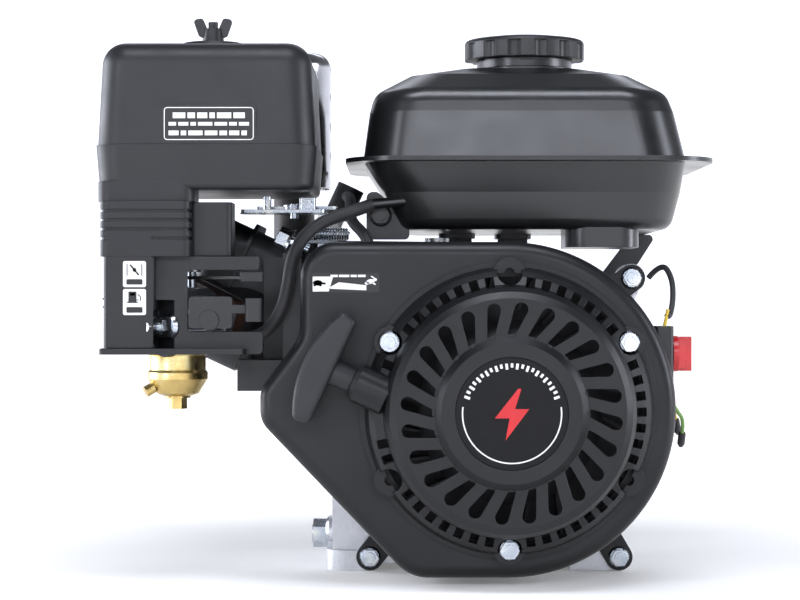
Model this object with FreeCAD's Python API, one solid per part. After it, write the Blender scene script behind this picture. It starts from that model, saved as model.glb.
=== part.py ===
import FreeCAD, Part
import math
import os

# Small horizontal-shaft, single-cylinder, air-cooled petrol engine.
# Frame: +Z up, +Y towards the power take-off, +X to the right seen from the recoil starter.
# Origin: centre of the base bolt pattern on the mounting face. All sizes are millimetres.

V = FreeCAD.Vector
AXIS_X = V(1, 0, 0)
AXIS_Y = V(0, 1, 0)
AXIS_Z = V(0, 0, 1)
EPS = 1.0

# Base and crank axis
BASE_X = 162.0
BASE_Y = 75.5
BASE_HOLE_R = 4.5
CRANK_X = 19.0
CRANK_Z = 106.0
CASE_FRONT = -45.0
CASE_BACK = 55.0
WALL = 6.0
BOLT_DEPTH = 11.0
PTO_FACE = 83.0
PTO_END = 145.0
PTO_R = 9.525
PTO_PCD = 92.1

# Cylinder, tilted above the horizontal towards -X
TILT = 25.0
BORE_R = 35.0
THROW = 27.5
ROD_LENGTH = 84.0
DECK = 130.0
GASKET = 1.0
HEAD_TOP = 166.0
ROCKER_BOX_TOP = 188.0
COVER_TOP = 212.0
PUSHROD_OFF = 42.0
PUSHROD_Y = 14.0
VALVE_Y = 16.0
VALVE_OFF = 4.0

# Oil plugs and the governor shaft
FILLER_X = 64.0
FILLER_Z = 47.0
DRAIN_Y = 20.0
DRAIN_Z = 17.0
GOV_AT = V(-22, -20, 172)

# Timing gears
CRANK_GEAR_R = 20.0
CAM_GEAR_R = 40.0
GEAR_Y0 = 43.0
GEAR_Y1 = 50.0
TOOTH = 2.0
LOBE_R = 9.5
NOSE_R = 6.2
NOSE_OFF = 8.0
LOBE_HALF = 3.2

# Crankshaft
JOURNAL_R = 12.5
PIN_R = 15.0
WEB_IN = 12.0
WEB_OUT = 24.0
WEB_R = 45.0
BEARING_R = 26.0
RUN_GAP = 0.04

# Fan housing, sheet steel around the flywheel
SHEET = 1.8
HOUSING_FRONT = -130.0
HOUSING_BACK = -48.0
HOUSING_R = 101.0
HOUSING_TOP = 207.0
FLYWHEEL_R = 87.0
FAN_R = 91.0

# Recoil starter
RECOIL_R = 89.0
RECOIL_PCD_R = 82.0
RECOIL_FACE = -168.0
RECOIL_SHELL = 2.5
SLOTS = 24
REEL_R = 54.0
ROPE_R = 2.2
ROPE_TANGENT = 36.0
PULL_TILT = 25.0
PULL_Y = -150.0

# Fuel tank
TANK_SEAM = 259.0
TANK_SHEET = 1.2
TANK_FRONT = -92.0
TANK_BACK = 84.0
CAP_X = 35.5
CAP_Y = -4.0
CAP_R = 39.0
NECK_R = 31.0
NECK_TOP = 328.0

# Carburettor: its air passage points forward and to the left
CARB = V(-183.0, -88.0, 163.0)
CARB_TURN = 50.0
CARB_HALF = 22.0
STUD_HALF = 21.0
STUD_LEAN = 20.0
BOWL_TOP = 141.0

# Air filter
FILTER_X0 = -229.0
FILTER_X1 = -96.0
FILTER_Y0 = -134.0
FILTER_Y1 = 2.0
FILTER_BOTTOM = 238.0
FILTER_SEAM = 265.0
FILTER_TOP = 327.0
FILTER_CX = -163.0
FILTER_CY = -66.0
PLASTIC = 2.5


def polar(radius, degrees):
    """A direction in the plane across the crank axis, measured from +X towards +Z."""
    angle = math.radians(degrees)
    return V(radius * math.cos(angle), 0, radius * math.sin(angle))


CRANK = V(CRANK_X, 0, CRANK_Z)
AIR_DIR = V(-math.cos(math.radians(CARB_TURN)), -math.sin(math.radians(CARB_TURN)), 0)
SIDE_DIR = V(-math.sin(math.radians(CARB_TURN)), math.cos(math.radians(CARB_TURN)), 0)
STUD_DIR = SIDE_DIR * math.cos(math.radians(STUD_LEAN)) + AXIS_Z * math.sin(math.radians(STUD_LEAN))
PULL_DIR = V(-math.cos(math.radians(PULL_TILT)), 0, math.sin(math.radians(PULL_TILT)))


# ---------- shape helpers ----------

def box(x0, x1, y0, y1, z0, z1):
    return Part.makeBox(x1 - x0, y1 - y0, z1 - z0, V(x0, y0, z0))


def rod(start, direction, radius, length):
    return Part.makeCylinder(radius, length, start, direction)


def rod_between(start, end, radius):
    return rod(start, end - start, radius, (end - start).Length)


def disc_y(x, z, radius, y0, y1):
    return rod(V(x, y0, z), AXIS_Y, radius, y1 - y0)


def ring_y(x, z, outer, inner, y0, y1):
    return disc_y(x, z, outer, y0, y1).cut(disc_y(x, z, inner, y0 - EPS, y1 + EPS))


def join(shapes):
    whole = shapes[0].multiFuse(shapes[1:]) if len(shapes) > 1 else shapes[0]
    return whole.removeSplitter()


def cut_all(shape, tools):
    for tool in tools:
        shape = shape.cut(tool)
    return shape


def rounded_edges(corners, place):
    """The edges of a closed outline of (a, b, radius) corners; place turns (a, b) into a 3-D point."""
    count = len(corners)
    starts = []
    ends = []
    mids = []
    for i in range(count):
        a, b, radius = corners[i]
        corner = V(a, b, 0)
        back = (V(corners[i - 1][0], corners[i - 1][1], 0) - corner).normalize()
        ahead = (V(corners[(i + 1) % count][0], corners[(i + 1) % count][1], 0) - corner).normalize()
        half = back.getAngle(ahead) / 2
        reach = radius / math.tan(half)
        middle = (back + ahead).normalize() * (radius / math.sin(half) - radius)
        starts.append(corner + back * reach)
        ends.append(corner + ahead * reach)
        mids.append(corner + middle)
    edges = []
    for i in range(count):
        if corners[i][2] > 0:
            edges.append(Part.Arc(place(starts[i]), place(mids[i]), place(ends[i])).toShape())
        following = starts[(i + 1) % count]
        if (following - ends[i]).Length > 1e-4:
            edges.append(Part.makeLine(place(ends[i]), place(following)))
    return edges


def rounded_wire(corners, place):
    return Part.Wire(rounded_edges(corners, place))


def prism_y(corners, y0, y1):
    wire = rounded_wire(corners, lambda p: V(p.x, y0, p.y))
    return Part.Face(wire).extrude(V(0, y1 - y0, 0))


def prism_z(corners, z0, z1):
    wire = rounded_wire(corners, lambda p: V(p.x, p.y, z0))
    return Part.Face(wire).extrude(V(0, 0, z1 - z0))


def prism_x(corners, x0, x1):
    wire = rounded_wire(corners, lambda p: V(x0, p.x, p.y))
    return Part.Face(wire).extrude(V(x1 - x0, 0, 0))


def frame_corners(x0, x1, y0, y1, radius):
    return [(x0, y0, radius), (x1, y0, radius), (x1, y1, radius), (x0, y1, radius)]


def block(x0, x1, y0, y1, z0, z1, radius):
    """A box with rounded upright corners."""
    return prism_z(frame_corners(x0, x1, y0, y1, radius), z0, z1)


def fillet_where(shape, radius, wanted):
    edges = [edge for edge in shape.Edges if wanted(edge)]
    return shape.makeFillet(radius, edges)


def at_y(y):
    return lambda edge: abs(edge.BoundBox.YMin - y) < 1e-3 and abs(edge.BoundBox.YMax - y) < 1e-3


def at_z(z):
    return lambda edge: abs(edge.BoundBox.ZMin - z) < 1e-3 and abs(edge.BoundBox.ZMax - z) < 1e-3


def revolve_y(profile, x, z):
    """A ring solid about an axis along Y through (x, z), from (radius, y) points."""
    points = [V(x + radius, y, z) for radius, y in profile]
    face = Part.Face(Part.makePolygon(points + [points[0]]))
    return face.revolve(V(x, 0, z), AXIS_Y, 360)


def revolve_z(profile, x, y):
    """A ring solid about an upright axis through (x, y), from (radius, z) points."""
    points = [V(x + radius, y, z) for radius, z in profile]
    face = Part.Face(Part.makePolygon(points + [points[0]]))
    return face.revolve(V(x, y, 0), AXIS_Z, 360)


def hexagon(start, direction, across, height):
    """A hexagonal prism that starts at a point and runs along a direction."""
    radius = across / math.sqrt(3)
    points = [V(radius * math.cos(math.radians(60 * i)), radius * math.sin(math.radians(60 * i)), 0)
              for i in range(7)]
    solid = Part.Face(Part.makePolygon(points)).extrude(V(0, 0, height))
    solid.Placement = FreeCAD.Placement(start, FreeCAD.Rotation(AXIS_Z, direction))
    return solid


def flange_bolt(seat, outward, radius, length):
    """A hexagon flange bolt seated at a point, its head on the outward side."""
    head = hexagon(seat + outward * 2, outward, radius * 3.3, radius * 1.7)
    crown = rod(seat + outward * (2 + radius * 1.7), outward, radius * 1.2, 0.6)
    flange = Part.makeCone(radius * 2.3, radius * 1.9, 2, seat, outward)
    shank = rod(seat - outward * length, outward, radius, length)
    return join([flange, head, crown, shank])


def onto_cylinder(shape):
    """Turns a shape drawn along +X onto the cylinder axis; its +Z side becomes the lower side."""
    shape.rotate(V(0, 0, 0), AXIS_Y, 180 + TILT)
    shape.translate(CRANK)
    return shape


def arc_path(points):
    """Straight runs joined by tangent arcs as large as the runs allow."""
    edges = []
    last = points[0]
    for i in range(1, len(points) - 1):
        back = points[i - 1] - points[i]
        ahead = points[i + 1] - points[i]
        half = back.getAngle(ahead) / 2
        reach = 0.45 * min(back.Length, ahead.Length)
        radius = reach * math.tan(half)
        back.normalize()
        ahead.normalize()
        bisector = (back + ahead).normalize()
        start = points[i] + back * reach
        end = points[i] + ahead * reach
        middle = points[i] + bisector * (radius / math.sin(half) - radius)
        edges.append(Part.makeLine(last, start))
        edges.append(Part.Arc(start, middle, end).toShape())
        last = end
    edges.append(Part.makeLine(last, points[-1]))
    return Part.Wire(edges)


def hose(points, radius):
    path = arc_path(points)
    circle = Part.Wire([Part.makeCircle(radius, points[0], points[1] - points[0])])
    return path.makePipeShell([circle], True, True)


def spring(start, direction, radius, wire, length, turns):
    """A coil spring of round wire."""
    helix = Part.makeHelix((length - 2 * wire) / turns, length - 2 * wire, radius)
    section = Part.Wire([Part.makeCircle(wire, V(radius, 0, 0), AXIS_Y)])
    coil = Part.Wire(helix).makePipeShell([section], True, False)
    coil.translate(V(0, 0, wire))
    coil.Placement = FreeCAD.Placement(start, FreeCAD.Rotation(AXIS_Z, direction)).multiply(coil.Placement)
    return coil


# ---------- crankcase and its cover ----------

HOUSING_LUGS = [V(-65, HOUSING_BACK, 9), V(93, HOUSING_BACK, 9), V(101, HOUSING_BACK, 186)]
CASE_CORNERS = [(-89, 8, 8), (92, 8, 8), (90, 62, 16), (90, 150, 26), (50, 172, 20), (-40, 172, 12),
                (-89, 128, 14)]
CAM_ALONG = math.sqrt((CRANK_GEAR_R + CAM_GEAR_R) ** 2 - PUSHROD_OFF ** 2)
CAM = onto_cylinder(Part.Vertex(CAM_ALONG, 0, PUSHROD_OFF)).Vertexes[0].Point
MESH_TURN = math.degrees(math.atan2(CAM.z - CRANK_Z, CAM.x - CRANK_X))


def base_holes():
    places = []
    for side in (-1, 1):
        for end in (-1, 1):
            places.append(V(side * BASE_X / 2, end * BASE_Y / 2, 0))
    return places


def cover_bolt_places():
    return [(-78, 22), (-20, 20), (80, 20), (82, 98), (66, 150), (-6, 163), (-78, 122)]


def inner_case(y0, y1):
    wire = rounded_wire(CASE_CORNERS, lambda p: V(p.x, y0, p.y))
    face = Part.Face(wire).makeOffset2D(-WALL)
    return face.extrude(V(0, y1 - y0, 0))


def crankcase():
    body = prism_y(CASE_CORNERS, CASE_FRONT, CASE_BACK)
    feet = block(-93, 96, HOUSING_BACK, CASE_BACK, 0, 13, 12)
    feet = feet.cut(box(-62, 62, -80, 80, -EPS, 5))
    barrel = onto_cylinder(rod(V(52, 0, 0), AXIS_X, 43, DECK - 52))
    tunnel = onto_cylinder(box(60, DECK, -22, 22, 30, 50))
    fins = []
    for i in range(7):
        along = 78 + 7.2 * i
        fins.append(onto_cylinder(prism_x(frame_corners(-47, 47, -50, 56, 12), along, along + 2.6)))
    plug_boss = rod(V(-93, DRAIN_Y, DRAIN_Z), AXIS_X, 11.5, 10)
    deck = onto_cylinder(prism_x(frame_corners(-48, 48, -46, 54, 12), DECK - 6, DECK))
    bosses = [disc_y(p.x, p.z, 9, p.y, -28) for p in HOUSING_LUGS]
    arm = prism_y([(60, 140, 3), (80, 120, 3), (108, 182, 4), (97, 193, 4)], -44, -30)
    snout = disc_y(CRANK_X, CRANK_Z, 34, CASE_FRONT - 3, CASE_FRONT + WALL)
    body = join([body, feet, barrel, tunnel, deck, arm, snout, plug_boss] + fins + bosses)
    chamber = inner_case(CASE_FRONT + WALL, CASE_BACK + EPS)
    chamber = chamber.cut(onto_cylinder(rod(V(58, 0, 0), AXIS_X, 40, 90)))
    chamber = chamber.cut(onto_cylinder(box(66, 140, -19, 19, 30, 48)))
    chamber = chamber.cut(disc_y(CRANK_X, CRANK_Z, 32, CASE_FRONT, CASE_FRONT + 15 + EPS))
    for x, z in cover_bolt_places():
        chamber = chamber.cut(disc_y(x, z, 7, CASE_BACK - 22, CASE_BACK + EPS))
    body = body.cut(chamber)
    body = body.cut(onto_cylinder(rod(V(20, 0, 0), AXIS_X, BORE_R, 130)))
    for side in (-1, 1):
        body = body.cut(onto_cylinder(rod(V(40, side * PUSHROD_Y, PUSHROD_OFF), AXIS_X, 4.5, 120)))
    body = body.cut(disc_y(CRANK_X, CRANK_Z, BEARING_R, CASE_FRONT, CASE_FRONT + 60))
    body = body.cut(disc_y(CRANK_X, CRANK_Z, 17.5, CASE_FRONT - 10, CASE_FRONT + EPS))
    body = body.cut(disc_y(CAM.x, CAM.z, 7.5 + RUN_GAP, CASE_FRONT + 1.5, CASE_FRONT + 20))
    for p in base_holes():
        body = body.cut(rod(p - AXIS_Z, AXIS_Z, BASE_HOLE_R, 60))
    for x, z in cover_bolt_places():
        body = body.cut(disc_y(x, z, 3, CASE_BACK - BOLT_DEPTH, CASE_BACK + EPS))
    for p in HOUSING_LUGS:
        body = body.cut(disc_y(p.x, p.z, 3, p.y - EPS, p.y - SHEET + 20))
    drain = rod(V(-100, DRAIN_Y, DRAIN_Z), AXIS_X, 5, 30)
    shaft_hole = rod(V(GOV_AT.x, GOV_AT.y, GOV_AT.z - 14), AXIS_Z, 4, 20)
    return cut_all(body, [drain, shaft_hole, filler_hole()])


def filler_hole():
    return disc_y(FILLER_X, FILLER_Z, 10, CASE_BACK, CASE_BACK + 40)


def cover_gasket_and_head_gasket():
    cover = prism_y(CASE_CORNERS, CASE_BACK, CASE_BACK + GASKET)
    cover = cover.cut(inner_case(CASE_BACK - EPS, CASE_BACK + 3))
    bosses = [disc_y(x, z, 7, CASE_BACK, CASE_BACK + GASKET) for x, z in cover_bolt_places()]
    cover = join([cover] + bosses)
    for x, z in cover_bolt_places():
        cover = cover.cut(disc_y(x, z, 3, CASE_BACK - EPS, CASE_BACK + 3))
    head = prism_x(frame_corners(-46, 46, -44, 52, 12), DECK, DECK + GASKET)
    head = head.cut(rod(V(DECK - 5, 0, 0), AXIS_X, BORE_R + 0.5, 10))
    for side in (-1, 1):
        head = head.cut(rod(V(DECK - 5, side * PUSHROD_Y, PUSHROD_OFF), AXIS_X, 4.5, 10))
    for y, z in head_bolt_places():
        head = head.cut(rod(V(DECK - 5, y, z), AXIS_X, 4, 10))
    return Part.makeCompound([cover, onto_cylinder(head)])


def crankcase_cover():
    y0 = CASE_BACK + GASKET
    plate = prism_y(CASE_CORNERS, y0, y0 + 9)
    plate = fillet_where(plate, 3, at_y(y0 + 9))
    nose = Part.makeCone(55, 52, PTO_FACE - y0 - 7, V(CRANK_X, y0 + 7, CRANK_Z), AXIS_Y)
    cam_boss = disc_y(CAM.x, CAM.z, 16, y0, y0 + 13)
    ribs = []
    for i in range(8):
        turn = 45 * i + 22.5
        rib = box(46, 54, -2, 2, 0, 14)
        rib.Placement = FreeCAD.Placement(V(CRANK_X, y0 + 8, CRANK_Z), FreeCAD.Rotation(V(1, 0, 0), -90))
        rib.rotate(CRANK, AXIS_Y, turn)
        ribs.append(rib)
    boss = disc_y(FILLER_X, FILLER_Z, 15, y0 + 2, y0 + 24)
    body = join([plate, nose, cam_boss, boss] + ribs)
    inner = inner_case(y0 - EPS, y0 + 4)
    for x, z in cover_bolt_places():
        inner = inner.cut(disc_y(x, z, 7, y0 - 5, y0 + 10))
    inner = inner.cut(disc_y(CRANK_X, CRANK_Z, 31, y0 - 5, y0 + 10))
    inner = inner.cut(disc_y(CAM.x, CAM.z, 13, y0 - 5, y0 + 10))
    body = body.cut(inner)
    body = body.cut(disc_y(CRANK_X, CRANK_Z, BEARING_R, y0 - 5, y0 + 17))
    body = body.cut(disc_y(CRANK_X, CRANK_Z, 17.5, y0, PTO_FACE + 10))
    body = body.cut(disc_y(CAM.x, CAM.z, 7.5 + RUN_GAP, y0 - 5, y0 + 9))
    for x, z in cover_bolt_places():
        body = body.cut(disc_y(x, z, 3, y0 - 5, y0 + 20))
    for i in range(4):
        hole = CRANK + polar(PTO_PCD / 2, 45 + 90 * i)
        body = body.cut(disc_y(hole.x, hole.z, 4, PTO_FACE - 16, PTO_FACE + EPS))
    return body.cut(filler_hole())


def cover_bolts():
    seat = CASE_BACK + GASKET + 9
    return Part.makeCompound([flange_bolt(V(x, seat, z), AXIS_Y, 3, 20) for x, z in cover_bolt_places()])


def oil_dipstick():
    """The filler plug in the cover, with its dipstick blade."""
    seat = CASE_BACK + GASKET + 24
    cap = disc_y(FILLER_X, FILLER_Z, 15, seat, seat + 9)
    for i in range(8):
        notch = V(FILLER_X, 0, FILLER_Z) + polar(16.5, 45 * i)
        cap = cap.cut(disc_y(notch.x, notch.z, 3, seat - EPS, seat + 12))
    stem = disc_y(FILLER_X, FILLER_Z, 9.6, seat - 16, seat + EPS)
    blade = disc_y(FILLER_X, FILLER_Z, 2.5, seat - 40, seat - 15)
    grip = box(FILLER_X - 2.5, FILLER_X + 2.5, seat + 8, seat + 15, FILLER_Z - 11, FILLER_Z + 11)
    return join([cap, stem, blade, grip])


def drain_plug():
    return flange_bolt(V(-93, DRAIN_Y, DRAIN_Z), V(-1, 0, 0), 5, 10)


def main_bearings():
    front = ring_y(CRANK_X, CRANK_Z, BEARING_R, JOURNAL_R + RUN_GAP, CASE_FRONT, CASE_FRONT + 15)
    y0 = CASE_BACK + GASKET + 2
    back = ring_y(CRANK_X, CRANK_Z, BEARING_R, JOURNAL_R + RUN_GAP, y0, y0 + 15)
    rings = []
    for ring in (front, back):
        groove_y = ring.BoundBox.YMin
        for face in (groove_y - EPS, groove_y + 13.5):
            ring = ring.cut(ring_y(CRANK_X, CRANK_Z, 22.5, 16, face, face + 2.5))
        rings.append(ring)
    return Part.makeCompound(rings)


def oil_seals():
    front = ring_y(CRANK_X, CRANK_Z, 17.5, JOURNAL_R + RUN_GAP, CASE_FRONT - 3, CASE_FRONT)
    back = ring_y(CRANK_X, CRANK_Z, 17.5, JOURNAL_R + RUN_GAP, PTO_FACE - 6, PTO_FACE - 0.5)
    return Part.makeCompound([front, back])


# ---------- cylinder head ----------

def head_bolt_places():
    return [(-37, -36), (37, -36), (-37, 34), (37, 34)]


def cylinder_head():
    base = DECK + GASKET
    core = prism_x(frame_corners(-40, 40, -38, 48, 10), base, HEAD_TOP)
    fins = []
    for i in range(5):
        along = base + 6.5 * i
        fins.append(prism_x(frame_corners(-48, 48, -46, 54, 12), along, along + 2.6))
    rocker_box = prism_x(frame_corners(-42, 42, -34, 54, 14), HEAD_TOP - 2, ROCKER_BOX_TOP)
    body = join([core, rocker_box] + fins)
    body = body.cut(prism_x(frame_corners(-36, 36, -28, 48, 10), HEAD_TOP, ROCKER_BOX_TOP + EPS))
    body = body.cut(Part.makeCone(BORE_R - 2, 22, 8, V(base - 0.01, 0, 0), AXIS_X))
    for side in (-1, 1):
        body = body.cut(rod(V(base - 5, side * PUSHROD_Y, PUSHROD_OFF), AXIS_X, 4.5, 80))
        body = body.cut(rod(V(base - 5, side * VALVE_Y, -VALVE_OFF), AXIS_X, 3.0, 80))
        body = body.cut(rod(V(base - 5, side * VALVE_Y, -VALVE_OFF), AXIS_X, 12, 20))
    for y, z in head_bolt_places():
        body = body.cut(rod(V(base - 5, y, z), AXIS_X, 4, 60))
    body = onto_cylinder(body)
    inlet = carb_rod(INLET_START - 40, 17, 48)
    flange = carb_plate(INLET_START, INLET_START + 8, 27, 18)
    inlet = join([inlet, flange]).common(box(-230, -100, -120, -46.5, 100, 240))
    port_block = onto_cylinder(box(HEAD_TOP - 14, ROCKER_BOX_TOP - 1, -48, -38, 6, 34))
    outlet_at = CRANK + polar(152, 180 - TILT)
    outlet = disc_y(outlet_at.x, outlet_at.z, 19, 38, 56)
    outlet_flange = prism_y([(outlet_at.x - 30, outlet_at.z - 12, 8), (outlet_at.x + 30, outlet_at.z - 12, 8),
                             (outlet_at.x + 30, outlet_at.z + 12, 8), (outlet_at.x - 30, outlet_at.z + 12, 8)],
                            48, 56)
    body = join([body, inlet, port_block, outlet, outlet_flange])
    body = body.cut(disc_y(outlet_at.x, outlet_at.z, 12.5, 30, 60))
    body = body.cut(carb_rod(INLET_START - 12, 11, 36))
    for side in (-1, 1):
        body = body.cut(carb_stud(side, INLET_START, CARB_HALF + 40, 3.0))
        body = body.cut(disc_y(outlet_at.x + side * 22, outlet_at.z, 4, 49, 60))
    return body.cut(head_bolts()).cut(spark_plug())


def head_bolts():
    shapes = []
    for y, z in head_bolt_places():
        seat = V(HEAD_TOP, y, z)
        shapes.append(onto_cylinder(flange_bolt(seat, AXIS_X, 4, HEAD_TOP - DECK - 0.5)))
    return Part.makeCompound(shapes)


def rocker_cover():
    outer = prism_x(frame_corners(-42, 42, -34, 54, 14), ROCKER_BOX_TOP, COVER_TOP)
    outer = outer.makeFillet(8, [e for e in outer.Edges if abs(e.BoundBox.XMin - COVER_TOP) < 1e-3])
    flange = prism_x(frame_corners(-46, 46, -38, 58, 16), ROCKER_BOX_TOP, ROCKER_BOX_TOP + 2.5)
    inner = prism_x(frame_corners(-40, 40, -32, 52, 12), ROCKER_BOX_TOP - EPS, COVER_TOP - 2)
    inner = inner.makeFillet(6, [e for e in inner.Edges if abs(e.BoundBox.XMin - COVER_TOP + 2) < 1e-3])
    breather = rod(V(COVER_TOP - 1, -22, -16), AXIS_X, 6, 7)
    return onto_cylinder(join([outer, flange, breather]).cut(inner))


def valves():
    shapes = []
    base = DECK + GASKET
    for side in (-1, 1):
        disc = Part.makeCone(11.8, 4, 6, V(base + 8.5, side * VALVE_Y, -VALVE_OFF), AXIS_X)
        stem = rod(V(base + 9, side * VALVE_Y, -VALVE_OFF), AXIS_X, 2.95, 190 - base - 9)
        retainer = rod(V(185, side * VALVE_Y, -VALVE_OFF), AXIS_X, 11, 2.5)
        shapes.append(onto_cylinder(join([disc, stem, retainer])))
    return Part.makeCompound(shapes)


def valve_springs():
    shapes = []
    for side in (-1, 1):
        start = V(HEAD_TOP + 0.1, side * VALVE_Y, -VALVE_OFF)
        shapes.append(onto_cylinder(spring(start, AXIS_X, 8.5, 1.3, 185 - HEAD_TOP - 0.2, 4.5)))
    return Part.makeCompound(shapes)


def rockers():
    shapes = []
    middle = (PUSHROD_OFF - VALVE_OFF) / 2
    for side in (-1, 1):
        y = side * 15
        arm = box(190.2, 195, y - 5, y + 5, -10, 47)
        pivot = Part.makeSphere(8, V(192, y, middle))
        stud = rod(V(HEAD_TOP - 0.0, y, middle), AXIS_X, 4, 38)
        nut = hexagon(V(198.5, y, middle), AXIS_X, 11, 6)
        shapes.append(onto_cylinder(join([arm, pivot, stud, nut])))
    return Part.makeCompound(shapes)


def pushrods():
    shapes = []
    for side in (-1, 1):
        start = V(CAM_ALONG + NOSE_OFF + NOSE_R + 0.7, side * PUSHROD_Y, PUSHROD_OFF)
        foot = rod(start, AXIS_X, 4.3, 10)
        shaft = rod(start + V(9, 0, 0), AXIS_X, 2.6, 189.9 - start.x - 9)
        shapes.append(onto_cylinder(join([foot, shaft])))
    return Part.makeCompound(shapes)


def spark_plug():
    base = DECK + GASKET + 16
    thread = rod(V(base, 0, -47), AXIS_Z, 6, 38)
    seat = rod(V(base, 0, -49.5), AXIS_Z, 9.5, 3)
    nut = hexagon(V(base, 0, -59), AXIS_Z, 20.8, 10)
    insulator = rod(V(base, 0, -76), AXIS_Z, 5.5, 18)
    tip = rod(V(base, 0, -82), AXIS_Z, 3, 8)
    return onto_cylinder(join([thread, seat, nut, insulator, tip]))


# ---------- carburettor helpers ----------

INSULATOR = 8.0
INLET_START = -CARB_HALF - INSULATOR - 8


def carb_point(along):
    return CARB + AIR_DIR * along


def carb_rod(along, radius, length):
    return rod(carb_point(along), AIR_DIR, radius, length)


def carb_frame(shape):
    """Places a shape drawn with +X along the stud line, +Y up and +Z towards the air side."""
    across = STUD_DIR
    out = AIR_DIR
    up = out.cross(across)
    turn = FreeCAD.Rotation(across, up, out, "ZXY")
    shape.Placement = FreeCAD.Placement(CARB, turn).multiply(shape.Placement)
    return shape


def carb_plate(start, end, half_wide, half_tall):
    corners = frame_corners(-half_wide, half_wide, -half_tall, half_tall, 8)
    return carb_frame(prism_z(corners, start, end))


def carb_stud(side, start, length, radius):
    return rod(carb_point(start) + STUD_DIR * (side * STUD_HALF), AIR_DIR, radius, length)


def insulator():
    plate = carb_plate(-CARB_HALF - INSULATOR, -CARB_HALF, 27, 17)
    plate = plate.cut(carb_rod(-CARB_HALF - 12, 11, 14))
    for side in (-1, 1):
        plate = plate.cut(carb_stud(side, -CARB_HALF - 12, 14, 3.0))
    return plate


def intake_studs():
    shapes = []
    for side in (-1, 1):
        nut_at = carb_point(CARB_HALF + 5) + STUD_DIR * (side * STUD_HALF)
        shaft = carb_stud(side, INLET_START, CARB_HALF - INLET_START + 24, 3.0)
        washer = Part.makeCone(8.2, 6.6, 2, nut_at, AIR_DIR)
        nut = hexagon(nut_at + AIR_DIR * 2, AIR_DIR, 11, 8)
        shapes.append(join([shaft, washer, nut]))
    return Part.makeCompound(shapes)


FUEL_INLET = V(CARB.x + 38, CARB.y - 7.6, 148)
CHOKE_AT = CARB + AIR_DIR * 11
THROTTLE_AT = CARB - AIR_DIR * 12
SHAFT_R = 3.0
SHAFT_TOP = 183.0


def carburetor():
    barrel = carb_rod(-CARB_HALF, 17, 2 * CARB_HALF)
    ends = [carb_plate(-CARB_HALF, -CARB_HALF + 6, 27, 15), carb_plate(CARB_HALF - 6, CARB_HALF, 27, 15)]
    lid = rod(V(CARB.x, CARB.y, BOWL_TOP), AXIS_Z, 19.5, 9)
    neck = rod(V(CARB.x, CARB.y, BOWL_TOP + 8), AXIS_Z, 15, 14)
    posts = [rod(V(p.x, p.y, CARB.z), AXIS_Z, 6.5, SHAFT_TOP - 3.5 - CARB.z) for p in (CHOKE_AT, THROTTLE_AT)]
    nipple = rod_between(V(CARB.x + 14, CARB.y - 4, FUEL_INLET.z), FUEL_INLET, 3.2)
    body = join([barrel, lid, neck] + ends + posts)
    body = body.cut(carb_rod(-CARB_HALF - 1, 11, 2 * CARB_HALF + 2))
    for p in (CHOKE_AT, THROTTLE_AT):
        body = body.cut(rod(V(p.x, p.y, CARB.z - 14), AXIS_Z, SHAFT_R + RUN_GAP, 60))
    for side in (-1, 1):
        body = body.cut(carb_stud(side, -CARB_HALF - 1, 2 * CARB_HALF + 2, 3.0))
    stem = rod(V(CARB.x, CARB.y, 118), AXIS_Z, 4, BOWL_TOP - 117)
    return join([body, stem, nipple])


def float_bowl():
    outer = [(9, 113), (13, 114.5), (18.5, 123.5), (18.5, 127.5), (17.2, 129), (17.2, 138), (19, 138.5),
             (19, BOWL_TOP)]
    inner = [(16, BOWL_TOP), (16, 128), (17, 126.5), (17, 124.5), (12, 116.5), (4.0, 116), (4.0, 113)]
    return revolve_z(outer + inner, CARB.x, CARB.y).cut(bowl_bolts()[1])


def bowl_bolts():
    seat = V(CARB.x, CARB.y, 113)
    washer = rod(seat - AXIS_Z * 1.2, AXIS_Z, 8, 1.2)
    head = hexagon(seat - AXIS_Z * 8, AXIS_Z, 10, 7)
    main = join([washer, head])
    drain_dir = V(-0.80, -0.35, -0.48).normalize()
    drain = rod(V(CARB.x - 14.2, CARB.y - 6.2, 118.4), drain_dir, 3.4, 6)
    return main, drain


# ---------- recoil starter ----------

def recoil_profile(offset):
    """The starter case's outer outline (radius, y), moved inwards by offset."""
    o = offset
    return [(37.5 - o, -172 + o), (41, -172 + o * 1.2), (45, RECOIL_FACE + o), (67, RECOIL_FACE + o),
            (71 - o * 0.6, RECOIL_FACE + 3 + o * 0.8), (73.5 - o, RECOIL_FACE + 8 + o),
            (75 - o, -152 + o), (80 - o * 0.5, -149 + o), (83.5 - o, -145 + o * 0.6), (86 - o, -136),
            (86 - o, HOUSING_FRONT)]


def slot_tool(inner_r, outer_r, wide_in, wide_out, slant, turn):
    """One teardrop cutter, narrow inside and wide outside, leaning clockwise."""
    small = V(CRANK_X + inner_r, 0, CRANK_Z)
    shift = (outer_r - inner_r) * math.tan(math.radians(slant))
    large = V(CRANK_X + outer_r, 0, CRANK_Z - shift)
    ends = [disc_y(small.x, small.z, wide_in / 2, -185, -155),
            disc_y(large.x, large.z, wide_out / 2, -185, -155)]
    along = (large - small).normalize()
    across = V(-along.z, 0, along.x)
    points = [small + across * (wide_in / 2), large + across * (wide_out / 2),
              large - across * (wide_out / 2), small - across * (wide_in / 2)]
    points = [V(p.x, -185, p.z) for p in points]
    middle = Part.Face(Part.makePolygon(points + [points[0]])).extrude(V(0, 30, 0))
    tool = join([middle] + ends)
    tool.rotate(CRANK, AXIS_Y, -turn)
    return tool


RECOIL_HOLES = [30, 90, 150, 210, 270, 330]
RECOIL_BOLTED = [30, 150, 270]


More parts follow.
